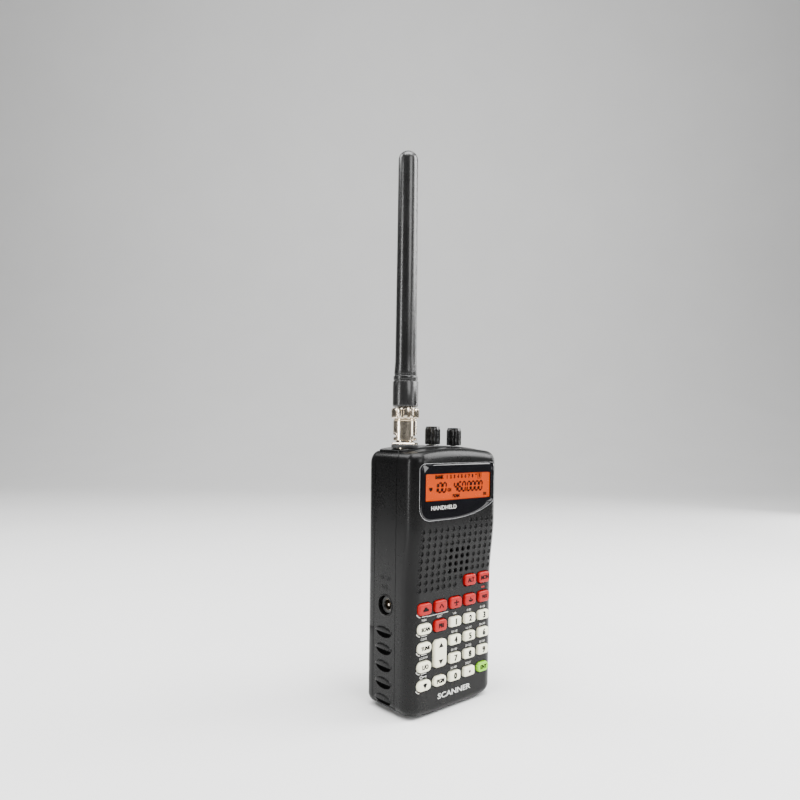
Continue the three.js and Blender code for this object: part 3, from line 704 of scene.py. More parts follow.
def build_display():
    panel = bmesh.new()
    lit_face = rounded_rect(WINDOW_W - 0.3, WINDOW_H - 0.3, 0.4, cz=WINDOW_Z)
    prism(panel, rounded_rect(LCD_WIDTH, LCD_TALL, 0.4, cz=WINDOW_Z), LCD_LOW.y, LCD_HIGH.y)
    prism(panel, lit_face, LCD_LOW.y - LCD_LIFT, LCD_LOW.y - 0.01)
    finish(from_bmesh("lcd_face", panel), "case", AMBER, "lcd", "lcd_panel")
    ink = bmesh.new()
    y = LCD_LOW.y - LCD_LIFT - 0.03
    low = WINDOW_Z - 2.6
    wide, tall, pitch = 2.15, 4.7, 3.0
    for place, digit in enumerate("100"):
        add_digit(ink, digit, -17.7 + pitch * place, low, wide, tall, y)
    for place, digit in enumerate("4600000"):
        add_digit(ink, digit, -3.7 + pitch * place + (0.7 if place > 2 else 0), low, wide, tall, y)
    add_flat(ink, rounded_rect(0.7, 0.7, 0.2, 3, -3.7 + pitch * 3 - 0.1, low + 0.1), y, 0.02)
    bank_x, bank_z, bank_pitch = -8.6, WINDOW_Z + 5.0, 2.66
    words = [("CH", 2.0, -6.9, low + 0.9), ("BANK", 2.3, -14.1, bank_z), ("SCAN", 2.1, -2.0, WINDOW_Z - 4.9),
             ("FM", 2.0, 19.6, WINDOW_Z - 4.9)]
    words += [(digit, 2.3, bank_x + bank_pitch * place, bank_z) for place, digit in enumerate("1234567890")]
    for word, size, x, z in words:
        add_text(ink, word, size, x, z, y, weight=0.20)
    for dx, dz, w, h in ((0, 1.35, 2.6, 0.3), (0, -1.35, 2.6, 0.3), (1.3, 0, 0.3, 3.0), (-1.3, 0, 0.3, 3.0)):
        add_flat(ink, rounded_rect(w, h, 0.1, 2, bank_x + bank_pitch * 9 + dx, bank_z + dz), y, 0.02)
    add_flat(ink, [(-21.0, low + 1.5), (-19.8, low + 0.5), (-18.6, low + 1.5), (-18.6, low + 2.6),
                   (-21.0, low + 2.6)], y, 0.02)
    finish(from_bmesh("lcd_segments", ink), "case", SEGMENT_INK, "lcd")


# ---------------------------------------------------------------- keys

KEY_MARKS = {"key_1": "1", "key_2": "2", "key_3": "3", "key_4": "4", "key_5": "5", "key_6": "6",
             "key_7": "7", "key_8": "8", "key_9": "9", "key_0": "0", "key_scan": "SCAN",
             "key_tune": "TUNE", "key_lockout": "L/O", "key_program": "PGM", "key_enter": "ENT",
             "key_priority": "PRI", "key_alert": "ALT", "key_monitor": "MON", "key_weather": "WX"}
RED_KEYS = ("key_alert", "key_monitor", "key_service", "key_bank_up", "key_air", "key_marine",
            "key_weather", "key_priority")


def key_symbol(bm, node, x, z, y):
    """The marks that aren't letters: a car, a chevron, an aircraft, a boat, a lamp and a point."""
    if node == "key_service":
        add_flat(bm, [(x - 1.9, z - 1.0), (x + 1.9, z - 1.0), (x + 1.9, z + 0.1), (x + 1.0, z + 0.3),
                      (x + 0.6, z + 1.2), (x - 0.9, z + 1.2), (x - 1.3, z + 0.3), (x - 1.9, z + 0.1)], y)
    if node == "key_bank_up":
        add_stroke(bm, [(x - 1.4, z - 0.9), (x, z + 1.0), (x + 1.4, z - 0.9)], 0.9, y)
    if node == "key_air":
        add_stroke(bm, [(x, z - 1.4), (x, z + 1.5)], 0.8, y)
        add_stroke(bm, [(x - 1.8, z + 0.2), (x + 1.8, z + 0.2)], 0.75, y - 0.01)
        add_stroke(bm, [(x - 0.9, z - 1.2), (x + 0.9, z - 1.2)], 0.5, y - 0.02)
    if node == "key_marine":
        add_flat(bm, [(x - 1.8, z + 0.0), (x - 1.0, z - 1.2), (x + 1.1, z - 1.2), (x + 1.8, z + 0.0)], y)
        add_flat(bm, [(x - 0.7, z + 0.2), (x + 0.9, z + 0.2), (x - 0.7, z + 1.5)], y)
    if node == "key_light":
        add_flat(bm, [(x - 1.5, z + 0.9), (x, z - 1.4), (x + 1.5, z + 0.9), (x + 0.6, z + 1.4),
                      (x - 0.6, z + 1.4)], y)
    if node == "key_point":
        add_flat(bm, arc(x, z, 0.75, 0, 345, 14), y)
    if node == "rocker_key":
        for sign in (1, -1):
            middle = z + sign * 4.4
            foot, point = middle - sign * 1.3, middle + sign * 1.3
            add_flat(bm, [(x - 1.75, foot), (x + 1.75, foot), (x, point)], y)


# Sideways shift of the copies that make a legend bold
BOLD_SPREAD = 0.22
# A key cap's rounded edge, as how far it draws in at each depth behind the cap's face
KEY_EDGE = [(0, 3.9), (0, 0.85), (0.06, 0.52), (0.2, 0.26), (0.42, 0.1), (0.72, 0.025), (1.1, 0)]


def build_key(node):
    place = centre(node)
    face = box(node)[0].y
    w, h = key_size(node)
    r = key_radius(node)
    rings = []
    for inset, depth in KEY_EDGE:
        outline = rounded_rect(w - 2 * inset, h - 2 * inset, max(r - inset * 0.8, 0.4), 6, place.x, place.z)
        rings.append([(x, face + depth, z) for x, z in outline])
    material, slot = (RED, "key_red") if node in RED_KEYS else (IVORY, "key_ivory")
    if node == "key_enter":
        material, slot = GREEN, "key_green"
    finish(skin("cap_" + node, rings), node, material, slot, node, angle=50)
    marks = bmesh.new()
    y = face + 0.015
    if node in KEY_MARKS:
        text = KEY_MARKS[node]
        size = 4.5 if len(text) == 1 else 3.0 if len(text) == 3 else 2.6
        spread = BOLD_SPREAD if len(text) == 1 else BOLD_SPREAD / 2
        for side in (-1, 0, 1):
            add_text(marks, text, size, place.x + side * spread, place.z, y - 0.004 * side, squeeze=0.86,
                     weight=0.12)
    key_symbol(marks, node, place.x, place.z, y)
    finish(from_bmesh("legend_" + node, marks), node, BLACK_INK, slot)


def build_keys():
    for node in KEY_BODIES + ["rocker_key"]:
        build_key(node)


BANKS = {"key_1": "1-40", "key_2": "41-80", "key_3": "81-120", "key_4": "121-160", "key_5": "161-200",
         "key_6": "201-240", "key_7": "241-280", "key_8": "281-320", "key_9": "321-360", "key_0": "361-400",
         "key_point": "DELAY"}
WORDS = {"key_scan": "MAN", "key_priority": "ALERT", "key_tune": "CLEAR", "key_lockout": "L/O RVW"}


def build_print():
    """The white lettering and lines printed on the front of the case."""
    ink = bmesh.new()
    y = KEYPAD_FACE - 0.01
    for node, text in {**BANKS, **WORDS}.items():
        place = centre(node)
        h = key_size(node)[1]
        add_text(ink, text, 1.65, place.x, place.z + h / 2 + 1.7, y, squeeze=0.82)
    for node in ("key_service", "key_scan", "key_tune", "key_lockout", "key_light"):
        place = centre(node)
        w, h = key_size(node)
        r = 3.0
        x0, z0 = place.x - w / 2 - 0.95, place.z - h / 2 - 0.95
        line = arc(x0 + r, z0 + r, r, 205, 262, 8)
        add_stroke(ink, line, 0.42, y)
        if node != "key_light":
            add_stroke(ink, [(x0 + r + 0.6, z0), (x0 + r + 4.2, z0)], 0.3, y)
    scan, priority = centre("key_service"), centre("key_air")
    add_stroke(ink, [(scan.x + 1.8, scan.z - 4.1), (priority.x - 4.6, scan.z - 4.1)], 0.3, y)
    light = centre("key_light")
    key_sign = light.z + 4.3
    add_stroke(ink, arc(light.x - 1.5, key_sign, 0.75, 0, 350, 14), 0.32, y)
    add_stroke(ink, [(light.x - 0.75, key_sign), (light.x + 2.1, key_sign)], 0.34, y)
    add_stroke(ink, [(light.x + 1.7, key_sign), (light.x + 1.7, key_sign - 0.8)], 0.3, y)
    add_text(ink, "SCANNER", 3.9, 0.6, 8.6, y, squeeze=1.36, weight=0.08)
    finish(from_bmesh("case_print", ink), "case", WHITE_INK, "case")
    flag = bmesh.new()
    weather = centre("key_weather")
    add_flat(flag, rounded_rect(2.6, 0.9, 0.2, 3, weather.x, weather.z + 5.0), KEYPAD_FACE - 0.01)
    finish(from_bmesh("case_flag", flag), "case", RED, "case")
    small = bmesh.new()
    add_text(small, "HANDHELD", 2.9, -11.0, LENS_LOW.z + 6.0, HEAD_FACE + 0.02, squeeze=1.15)
    finish(from_bmesh("lens_print", small), "case", WHITE_INK, "lens")


# ---------------------------------------------------------------- rear case, door and back

SIDE = REAR_HIGH.x - 0.6
DECK_HALF, DECK_BACK = 28.8, 14.0
ANTENNA = centre("bnc_jack")
VOLUME, SQUELCH = centre("volume_shaft"), centre("squelch_shaft")
POWER, DATA, PHONES = centre("power_jack"), centre("data_jack"), centre("headphone_jack")
DOOR_LOW, DOOR_HIGH = box("battery_door")
GRIP_LOW, GRIP_PITCH, GRIP_Y, GRIP_COUNT = 6.6, 8.8, 3.5, 5
CLIP_SCREW_Z = [centre("clip_screw_1").z, centre("clip_screw_2").z]
CASE_SCREWS = [(x, z) for x in (-24.0, 24.0) for z in (50.0, 122.0)]


def outward(profile):
    """A profile for the left side, where outwards is towards negative X."""
    return [(r, -h) for r, h in profile]


def build_deck():
    """The raised top, as a loft that follows the arch, with its upper edge rounded over."""
    front = SEAM_REAR
    rows = [(-9, 0), (-0.42, 0), (-0.2, 0.05), (-0.06, 0.17), (0, 0.36), (0.01, 0.6)]
    rings = []
    for drop, inset in rows:
        ring = []
        for x, y in half_section(DECK_HALF - inset, 2.2, 2.2, 8, 20):
            ring.append(Vector((x, front + inset + y, top_at(x) + DECK_RISE + drop)))
        for x, y in reversed(half_section(DECK_HALF - inset, 4, 4, 8, 20)):
            ring.append(Vector((x, DECK_BACK - inset - y, top_at(x) + DECK_RISE + drop)))
        rings.append(ring)
    bm = bmesh.new()
    add_rings(bm, rings, close_ends=False)
    bm.verts.ensure_lookup_table()
    count = len(rings[0])
    for i in range(count // 2 - 1):
        bottom = (count - 1 - i, count - 2 - i, i + 1, i)
        bm.faces.new([bm.verts[k] for k in bottom])
        bm.faces.new([bm.verts[(len(rings) - 1) * count + k] for k in reversed(bottom)])
    return bm


def ellipsoid(bm, middle, radii, segments=32, rings=16):
    made = bmesh.ops.create_uvsphere(bm, u_segments=segments, v_segments=rings, radius=1.0)
    bmesh.ops.scale(bm, vec=radii, verts=made["verts"])
    bmesh.ops.translate(bm, vec=middle, verts=made["verts"])


POCKET, POCKET_X = (1.7, 6.1, 3.0), SIDE + 0.25


def grip_arch(side, z):
    """The solid brow above one finger pocket."""
    brow = bmesh.new()
    ellipsoid(brow, (side * SIDE, GRIP_Y, z - 0.4), (0.62, 6.9, 3.0))
    return from_bmesh("brow", brow)


def add_grips(shell):
    for side in (-1, 1):
        for i in range(GRIP_COUNT):
            z = GRIP_LOW + i * GRIP_PITCH
            brow = grip_arch(side, z)
            boolean(brow, block((-50, -50, z - 0.3), (50, 50, z + 9)), "INTERSECT")
            boolean(shell, brow, "UNION")
            pocket = bmesh.new()
            ellipsoid(pocket, (side * POCKET_X, GRIP_Y, z - 0.3), POCKET)
            tool = from_bmesh("pocket", pocket)
            boolean(tool, block((-50, -50, z - 6), (50, 50, z - 0.28)), "INTERSECT")
            boolean(shell, tool)


def shade_pockets(obj):
    """Gives the faces inside the finger pockets a rough matte material, darker than the case as painted shade
    for the shadow under each brow.
    """
    obj.data.materials.append(POCKET_SHADE)
    for face in obj.data.polygons:
        x, y, z = (c / MM for c in face.center)
        if abs(x) > SIDE - 0.05 or abs(y - GRIP_Y) > 6.2 or z > GRIP_LOW + GRIP_PITCH * GRIP_COUNT:
            continue
        nearest = max(0, min(GRIP_COUNT - 1, math.ceil((z - GRIP_LOW) / GRIP_PITCH)))
        away = Vector(((abs(x) - POCKET_X) / POCKET[0], (y - GRIP_Y) / POCKET[1],
                       (z - GRIP_LOW - GRIP_PITCH * nearest + 0.3) / POCKET[2]))
        if away.length < 1.03:
            face.material_index = 1


def side_marks():
    """Raised signs moulded into the left side above the power socket: a plug, its pole and a current."""
    bm = bmesh.new()
    y, z = POWER.y, POWER.z + 9.2
    x = -SIDE
    turn = Matrix.Rotation(math.radians(-90), 4, "Z")
    for dy, symbol in ((-2.6, "-"), (2.6, "+")):
        add_text(bm, symbol, 4.2, x, z, y + dy, thick=0.12, facing=turn)
    for r in (1.35, 0.62):
        ring = [(r - 0.14, -0.12), (r + 0.14, -0.12), (r + 0.14, 0.12), (r - 0.14, 0.12)]
        add_turned(bm, ring, 24, (x, y, z), "X")
    add_text(bm, "DC 6V", 3.1, x, z + 4.6, y, thick=0.12, facing=turn)
    finish(from_bmesh("side_marks", bm), "case", CASE, "case")


def build_rear_case():
    shell = from_bmesh("rear_shell", case_form())
    boolean(shell, build_deck(), "UNION")
    add_grips(shell)
    boolean(shell, case_form(WALL + 0.3, corner_steps=6, face_steps=12, end_steps=6))
    boolean(shell, block((-60, SEAM_REAR, -10), (60, 60, 200)), "INTERSECT")
    boolean(shell, block((-60, DOOR_LOW.y - 0.25, -10), (60, 60, DOOR_HIGH.z + 0.3)))
    for side in (-1, 1):
        inner, outer = sorted((side * (SIDE - 0.4), side * (SIDE + 2)))
        boolean(shell, block((inner, DOOR_LOW.y - 0.3, DOOR_HIGH.z), (outer, DOOR_LOW.y, HEIGHT - 5)))
    power_place, data_place = (-SIDE, POWER.y, POWER.z), (SIDE, DATA.y, DATA.z)
    profile = [(5.0, -1.0), (5.0, 0.22), (5.14, 0.36), (5.5, 0.36), (5.72, 0.24), (5.85, -1.0)]
    boolean(shell, turned("rim", outward(profile), 48, power_place, "X"), "UNION")
    power_hole = [(0, -3), (5.02, -3), (5.02, 0), (4.9, 8), (0, 8)]
    data_hole = [(0, -8), (3.4, -8), (3.4, -0.35), (4.0, 0.1), (4.0, 3), (0, 3)]
    boolean(shell, turned("power_hole", power_hole, 40, power_place, "X"))
    boolean(shell, turned("data_hole", data_hole, 40, data_place, "X"))
    top = bmesh.new()
    for place, r in ((ANTENNA, 4.8), (VOLUME, 3.6), (SQUELCH, 3.6), (PHONES, 3.4)):
        edge = top_at(place.x) + DECK_RISE
        profile = [(0, 125), (r, 125), (r, edge - 0.25), (r + 0.5, edge + 0.25), (r + 0.5, edge + 3),
                   (0, edge + 3)]
        add_turned(top, profile, 40, (place.x, place.y, 0))
    boolean(shell, top)
    back = bmesh.new()
    for x, z in CASE_SCREWS:
        add_turned(back, [(0, 3), (3.5, 3), (3.4, 0), (3.1, -1.1), (0, -1.1)], 32, (x, BACK_FACE, z), "Y")
    for z in CLIP_SCREW_Z:
        add_turned(back, [(0, 3), (1.4, 3), (1.4, -6), (0, -6)], 20, (0, BACK_FACE, z), "Y")
    boolean(shell, back)
    finish(shell, "case", CASE, "case", "rear_case", angle=28)
    shade_pockets(shell)
    side_marks()


def build_door():
    door = from_bmesh("battery_cover", case_form())
    boolean(door, case_form(WALL, corner_steps=6, face_steps=12, end_steps=6))
    boolean(door, block((-60, DOOR_LOW.y, -10), (60, 60, DOOR_HIGH.z)), "INTERSECT")
    pad = bmesh.new()
    ellipsoid(pad, (0, BACK_FACE + 5.2, 33.5), (13.5, 6.0, 7.2), 40, 20)
    boolean(door, pad)
    ribs = bmesh.new()
    for i in range(5):
        z = 29.5 + 2.0 * i
        half = 10.2 * math.sqrt(max(0.0, 1 - ((z - 33.5) / 6.4) ** 2))
        if half > 3:
            outline = rounded_rect(2 * half, 0.8, 0.39, 4, 0, z)
            add_rings(ribs, [[(x, y, zz) for x, zz in outline] for y in (BACK_FACE - 1.0, BACK_FACE - 0.12)])
    boolean(door, ribs, "UNION")
    arrow = bmesh.new()
    add_rings(arrow, [[(x, y, z) for x, z in [(-2.2, 22.5), (0, 19.5), (2.2, 22.5)]]
                      for y in (BACK_FACE - 0.35, BACK_FACE + 1)])
    boolean(door, arrow)
    bevel(door, 0.18, 2, 40)
    finish(door, "battery_door", DOOR, "door", "battery_door", angle=40)


def cross_head(name, x, y, z, *nodes, r=2.7, height=1.2):
    """A pan-head screw facing the back, with its cross recess."""
    profile = [(0, -3.0), (r * 0.5, -3.0), (r * 0.5, -0.02), (r, -0.02), (r, height * 0.4),
               (r * 0.93, height * 0.72), (r * 0.72, height * 0.94), (r * 0.4, height), (0, height)]
    head = turned(name, profile, 32, (x, y, z), "Y")
    narrow, wide = r * 0.13, r * 0.56
    for across, up in ((narrow, wide), (wide, narrow)):
        rings = []
        for depth, share in ((height * 0.35, 0.6), (height + 1, 1.0)):
            dx, dz = across * share, up * share
            corners = ((-dx, -dz), (dx, -dz), (dx, dz), (-dx, dz))
            rings.append([(x + cx, y + depth, z + cz) for cx, cz in corners])
        boolean(head, skin("recess", rings))
    finish(head, "case", SCREW_STEEL, "screw", *nodes, angle=30)


def build_screws():
    for i, (x, z) in enumerate(CASE_SCREWS):
        cross_head(f"case_screw_{i + 1}", x, BACK_FACE - 1.1, z)
    for i in (1, 2):
        node = f"clip_screw_{i}"
        cross_head("belt_" + node, 0, box(node)[1].y - 1.5, centre(node).z, node, height=1.45)


def build_belt_clip():
    """A folded strap of plastic: a plate on the case, a bend at the top and a springy tongue with a lip."""
    low, high = box("belt_clip")
    inner, outer, thick = low.y, low.y + 6.8, 1.8
    half = high.x
    root = 94.0
    side = [(inner, root), (inner, high.z - 1.5)]
    side += arc(inner + 3, high.z - 3, 3, 180, 90, 8)
    side += [(outer + thick - 4, high.z)]
    side += arc(outer + thick - 4, high.z - 4, 4, 90, 0, 8)[1:]
    face = outer + thick
    side += [(face, low.z + 9), (face - 0.9, low.z + 4.6), (face - 0.2, low.z + 2.2),
             (face + 1.4, low.z + 0.2)]
    side += [(face + 0.9, low.z), (outer + thick - 1.2, low.z + 0.6), (outer - 0.9, low.z + 3.0),
             (outer - 0.6, low.z + 5.4), (outer, low.z + 9.5)]
    side += arc(outer - 2.0, high.z - thick - 2.0, 2.0, 0, 90, 6)
    side += arc(inner + thick + 1.2, high.z - thick - 1.2, 1.2, 90, 180, 5)
    side += [(inner + thick, root)]
    clip = skin("clip_strap", [[(x, y, z) for y, z in side] for x in (-half, half)])
    corners = rounded_rect(2 * half, high.z - low.z + 0.4, 5.5, 10, 0, (low.z + high.z) / 2)
    boolean(clip, slab("corners", corners, low.y - 5, high.y + 5), "INTERSECT")
    boolean(clip, slab("slot", rounded_rect(5.5, 24, 2.7, 8, 0, 82), outer - 3, outer + 6))
    for z in CLIP_SCREW_Z:
        boolean(clip, turned("access", [(0, -3), (3.4, -3), (3.4, 9), (0, 9)], 28, (0, outer - 0.4, z), "Y"))
        boolean(clip, turned("hole", [(0, -3), (1.5, -3), (1.5, 3), (0, 3)], 20, (0, inner + 0.8, z), "Y"))
    bevel(clip, 0.32, 3, 40)
    finish(clip, "case", DOOR, "clip", "belt_clip", angle=40)


def build_sockets():
    x, top = box("data_jack")[1].x - 0.25, box("headphone_jack")[1].z
    foot = box("headphone_jack")[0].z
    data = [(1.7, 0), (2.0, 0.25), (3.05, 0.25), (3.2, 0.1), (3.2, -9.5), (0, -9.5), (0, -8.0), (1.7, -8.0)]
    phones = [(1.75, top - 8.5), (1.75, top - 0.35), (2.05, top), (3.0, top), (3.2, top - 0.2), (3.2, foot),
              (0, foot), (0, top - 8.5)]
    socket = turned("computer_socket", data, 40, (x, DATA.y, DATA.z), "X")
    finish(socket, "case", SOCKET, "socket", "data_jack")
    socket = turned("phones_socket", phones, 40, (PHONES.x, PHONES.y, 0))
    finish(socket, "case", SOCKET, "socket", "headphone_jack")
    place = (box("power_jack")[0].x + 0.3, POWER.y, POWER.z)
    power = [(2.9, 0), (3.15, 0.3), (4.1, 0.3), (4.3, 0.1), (4.3, -10.5), (0, -10.5), (0, -9.2), (2.9, -9.2)]
    pin = [(0, -9.4), (1.0, -9.4), (1.0, -0.9), (0.8, -0.5), (0.4, -0.32), (0, -0.3)]
    sleeve = [(2.62, -9.4), (2.62, -0.7), (2.88, -0.7), (2.88, -9.4)]
    finish(turned("power_socket", outward(power), 40, place, "X"), "case", SOCKET, "socket", "power_jack")
    finish(turned("power_pin", outward(pin), 24, place, "X"), "case", NICKEL, "nickel")
    finish(turned("power_contact", outward(sleeve), 32, place, "X"), "case", NICKEL, "nickel")


# ---------------------------------------------------------------- knobs and antenna

def build_knob(node, body):
    low, high = box(node)
    place = centre(node)
    r = (high.x - low.x) / 2
    tall = high.z - low.z
    flutes, steps = 12, 192
    rows = [(0.0, r - 0.45, 0.2), (0.12, r - 0.12, 0.8), (0.4, r, 1.0), (tall - 1.9, r, 1.0),
            (tall - 1.5, r * 0.985, 0.8), (tall - 1.15, r * 0.94, 0.35), (tall - 0.95, r * 0.91, 0.0),
            (tall - 0.4, r * 0.88, 0.0), (tall - 0.15, r * 0.85, 0.0), (tall - 0.03, r * 0.79, 0.0),
            (tall, r * 0.70, 0.0), (tall - 0.12, r * 0.62, 0.0), (tall - 0.2, r * 0.3, 0.0)]
    rings = []
    for z, radius, cut in rows:
        ring = []
        for i in range(steps):
            a = 2 * math.pi * i / steps
            groove = 0.5 - 0.5 * math.cos(flutes * a)
            reach = radius - 0.5 * cut * groove ** 2.2
            ring.append((place.x + reach * math.cos(a), place.y + reach * math.sin(a), low.z + z))
        rings.append(ring)
    finish(skin(node + "_cap", rings), body, KNOB, "knob", node, angle=34)
    left, right = place.x - 0.28, place.x + 0.28
    front, back = place.y - r * 0.62, place.y - 1.0
    corners = [(left, front), (right, front), (right, back), (left, back)]
    mark = [[(x, y, z) for x, y in corners] for z in (high.z - 0.24, high.z - 0.12)]
    finish(skin(node + "_mark", mark), body, WHITE_INK, "knob")


LUG_Z = 142.6


def build_bayonet():
    """The panel half of the connector, with two lugs, over its washer and nut."""
    x, y = ANTENNA.x, centre("antenna_whip").y
    top = box("bnc_jack")[1].z
    foot, collar, floor = 128.5, 139.0, 140.6
    profile = [(0, foot), (4.4, foot), (4.4, collar - 0.3), (4.82, collar), (4.82, collar + 2.4),
               (4.82, top - 0.3), (4.6, top), (4.25, top), (4.05, top - 0.3), (4.05, floor),
               (1.3, floor), (1.3, 130), (0, 130)]
    jack = turned("antenna_jack", profile, 64, (x, y, 0))
    lug = [(0, 4.4), (1.0, 4.4), (1.0, 5.95), (0.88, 6.18), (0.6, 6.3), (0, 6.3)]
    for side in (-1, 1):
        boolean(jack, turned("lug", [(r, h * side) for r, h in lug], 24, (x, y, LUG_Z), "X"), "UNION")
    finish(jack, "case", NICKEL, "nickel", "bnc_jack", angle=30)

    low, high = box("bnc_nut")
    profile = [(4.7, low.z - 0.9), (6.9, low.z - 0.9), (7.0, low.z - 0.7), (7.0, low.z + 0.5),
               (6.8, low.z + 0.7), (4.7, low.z + 0.7)]
    finish(turned("antenna_washer", profile, 64, (x, y, 0)), "case", SOCKET, "nickel")
    rings = []
    for z, grow in ((low.z + 0.75, -0.3), (low.z + 0.9, 0.25), (high.z - 0.7, 0.25), (high.z - 0.15, -0.1),
                    (high.z, -0.4)):
        ring = []
        for i in range(96):
            a = 2 * math.pi * i / 96
            flat = 6.0 / math.cos((a + math.pi / 6) % (math.pi / 3) - math.pi / 6)
            reach = min(flat, 6.65) + grow
            ring.append((x + reach * math.cos(a), y + reach * math.sin(a), z))
        rings.append(ring)
    nut = skin("antenna_nut", rings)
    boolean(nut, turned("bore", [(0, 130), (4.6, 130), (4.6, 145), (0, 145)], 48, (x, y, 0)))
    finish(nut, "case", NICKEL, "nickel", "bnc_nut", angle=25)


RING_LIFT, SLOT_WIDTH = 1.8, 2.6


def build_ring():
    """The coupling ring: a slim skirt with two helical slots under a knurled collar."""
    x, y = ANTENNA.x, centre("antenna_whip").y
    low, high = box("bayonet_ring")
    r, bore = (high.x - low.x) / 2, 5.15
    steps, ribs = 224, 14
    neck = 150.1
    rows = [(low.z, bore, 0), (low.z, 5.95, 0), (low.z + 0.25, 6.2, 0), (neck - 0.5, 6.2, 0), (neck, 5.75, 0),
            (neck + 0.4, 5.75, 0), (neck + 0.65, r - 0.7, 0.2), (neck + 1.1, r - 0.1, 0.9),
            (neck + 1.4, r, 1),
            (high.z - 1.3, r, 1), (high.z - 0.75, r - 0.2, 0.9), (high.z - 0.3, r - 0.75, 0.3),
            (high.z, r - 1.3, 0), (high.z, 3.95, 0), (neck + 1, 3.95, 0), (neck + 1, bore, 0)]
    rings = []
    for z, radius, cut in rows:
        ring = []
        for i in range(steps):
            a = 2 * math.pi * i / steps
            wave = 0.5 + 0.5 * math.cos(ribs * a)
            reach = radius - cut * 0.75 * smooth_step((0.45 - wave) / 0.3)
            ring.append((x + reach * math.cos(a), y + reach * math.sin(a), z))
        rings.append(ring)
    bm = bmesh.new()
    add_rings(bm, rings + [rings[0]], close_ends=False)
    bmesh.ops.remove_doubles(bm, verts=bm.verts, dist=1e-5)
    ring_object = from_bmesh("coupling_ring", bm)
    cutter = [(0, 4.0), (SLOT_WIDTH / 2, 4.0), (SLOT_WIDTH / 2, 9.0), (0, 9.0)]
    for turn in (0, math.pi):
        path = [(-math.pi / 2 * t, LUG_Z - RING_LIFT * smooth_step(t)) for t in [i / 14 for i in range(15)]]
        path += [(-math.pi / 2, LUG_Z - RING_LIFT - 1.2 * k) for k in (1, 2, 3, 4)]
        for (a0, z0), (a1, z1) in zip(path, path[1:]):
            for a, z in ((a0, z0), ((a0 + a1) / 2, (z0 + z1) / 2)):
                spot = bmesh.new()
                add_turned(spot, cutter, 20, (0, 0, 0), "X")
                bmesh.ops.rotate(spot, verts=spot.verts, matrix=Matrix.Rotation(a + turn, 3, "Z"))
                bmesh.ops.translate(spot, verts=spot.verts, vec=(x, y, z))
                boolean(ring_object, spot)
    finish(ring_object, "bayonet_ring", NICKEL, "nickel", "bayonet_ring", angle=30)


def build_whip():
    """The sheathed whip: a thicker foot closed by two fine grooves, a flare, a long taper and a domed tip."""
    x, y = ANTENNA.x, centre("antenna_whip").y
    low, high = box("antenna_whip")
    base, foot, root, tip = low.z, 6.55, 5.45, 5.0
    profile = [(3.9, base + 0.1), (5.6, base), (6.2, base + 0.15), (6.48, base + 0.5), (foot, base + 1.0)]
    for groove in (170.2, 173.0):
        profile += [(foot, groove - 0.55), (foot - 0.12, groove - 0.34), (foot - 0.6, groove - 0.22),
                    (foot - 0.6, groove + 0.22), (foot - 0.4, groove + 0.34), (foot - 0.3, groove + 0.55)]
        foot -= 0.3
    flare, dome = 174.0, 4.6
    taper, shoulder = flare + 11, high.z - dome
    for i in range(1, 13):
        t = i / 12
        profile.append((root + (foot - root) * (1 - t) ** 2.2, flare + 11 * t))
    for i in range(1, 25):
        t = i / 24
        profile.append((root + (tip - root) * t, taper + (shoulder - taper) * t))
    for i in range(1, 11):
        a = math.pi / 2 * i / 10
        profile.append((tip * math.cos(a) if i < 10 else 0, shoulder + dome * math.sin(a)))
    profile += [(0, 165.2), (3.9, 165.2)]
    finish(turned("whip_sheath", profile, 96, (x, y, 0)), "antenna", WHIP, "whip", "antenna_whip", angle=50)


# ---------------------------------------------------------------- inner pieces

INNER = {
    "lcd_holder": textured("holder_white", (0.62, 0.62, 0.58), 0.06, 0.5, 2500, 0.01),
    "speaker_frame": textured("tinned_steel", (0.42, 0.42, 0.41), 0.12, 0.34, 2200, 0.008, 1.0),
    "speaker_cone": textured("cone_paper", (0.030, 0.027, 0.024), 0.25, 0.85, 2400, 0.06),
    "keypad_mat": textured("grey_silicone", (0.09, 0.09, 0.085), 0.1, 0.6, 2600, 0.02),
    "main_board": textured("board_green", (0.012, 0.10, 0.035), 0.25, 0.35, 1500, 0.01),
    "battery_tray": textured("tray_abs", (0.02, 0.02, 0.02), 0.15, 0.5, 3000, 0.02),
    "battery_cell_1": textured("cell_sleeve", (0.05, 0.13, 0.32), 0.1, 0.3, 900, 0.004),
}
INNER["rf_board"] = INNER["main_board"]
for steel in ("rf_shield", "volume_shaft", "squelch_shaft", "volume_pot", "squelch_pot"):
    INNER[steel] = INNER["speaker_frame"]
INNER["antenna_plug"] = NICKEL
for number in (2, 3, 4):
    INNER[f"battery_cell_{number}"] = INNER["battery_cell_1"]


def dress_inner_nodes():
    for node, material in INNER.items():
        obj = frame["nodes"][node]
        if not obj.material_slots:
            obj.data.materials.append(material)
        for spot in obj.material_slots:
            spot.material = material


# ---------------------------------------------------------------- floor, light and camera

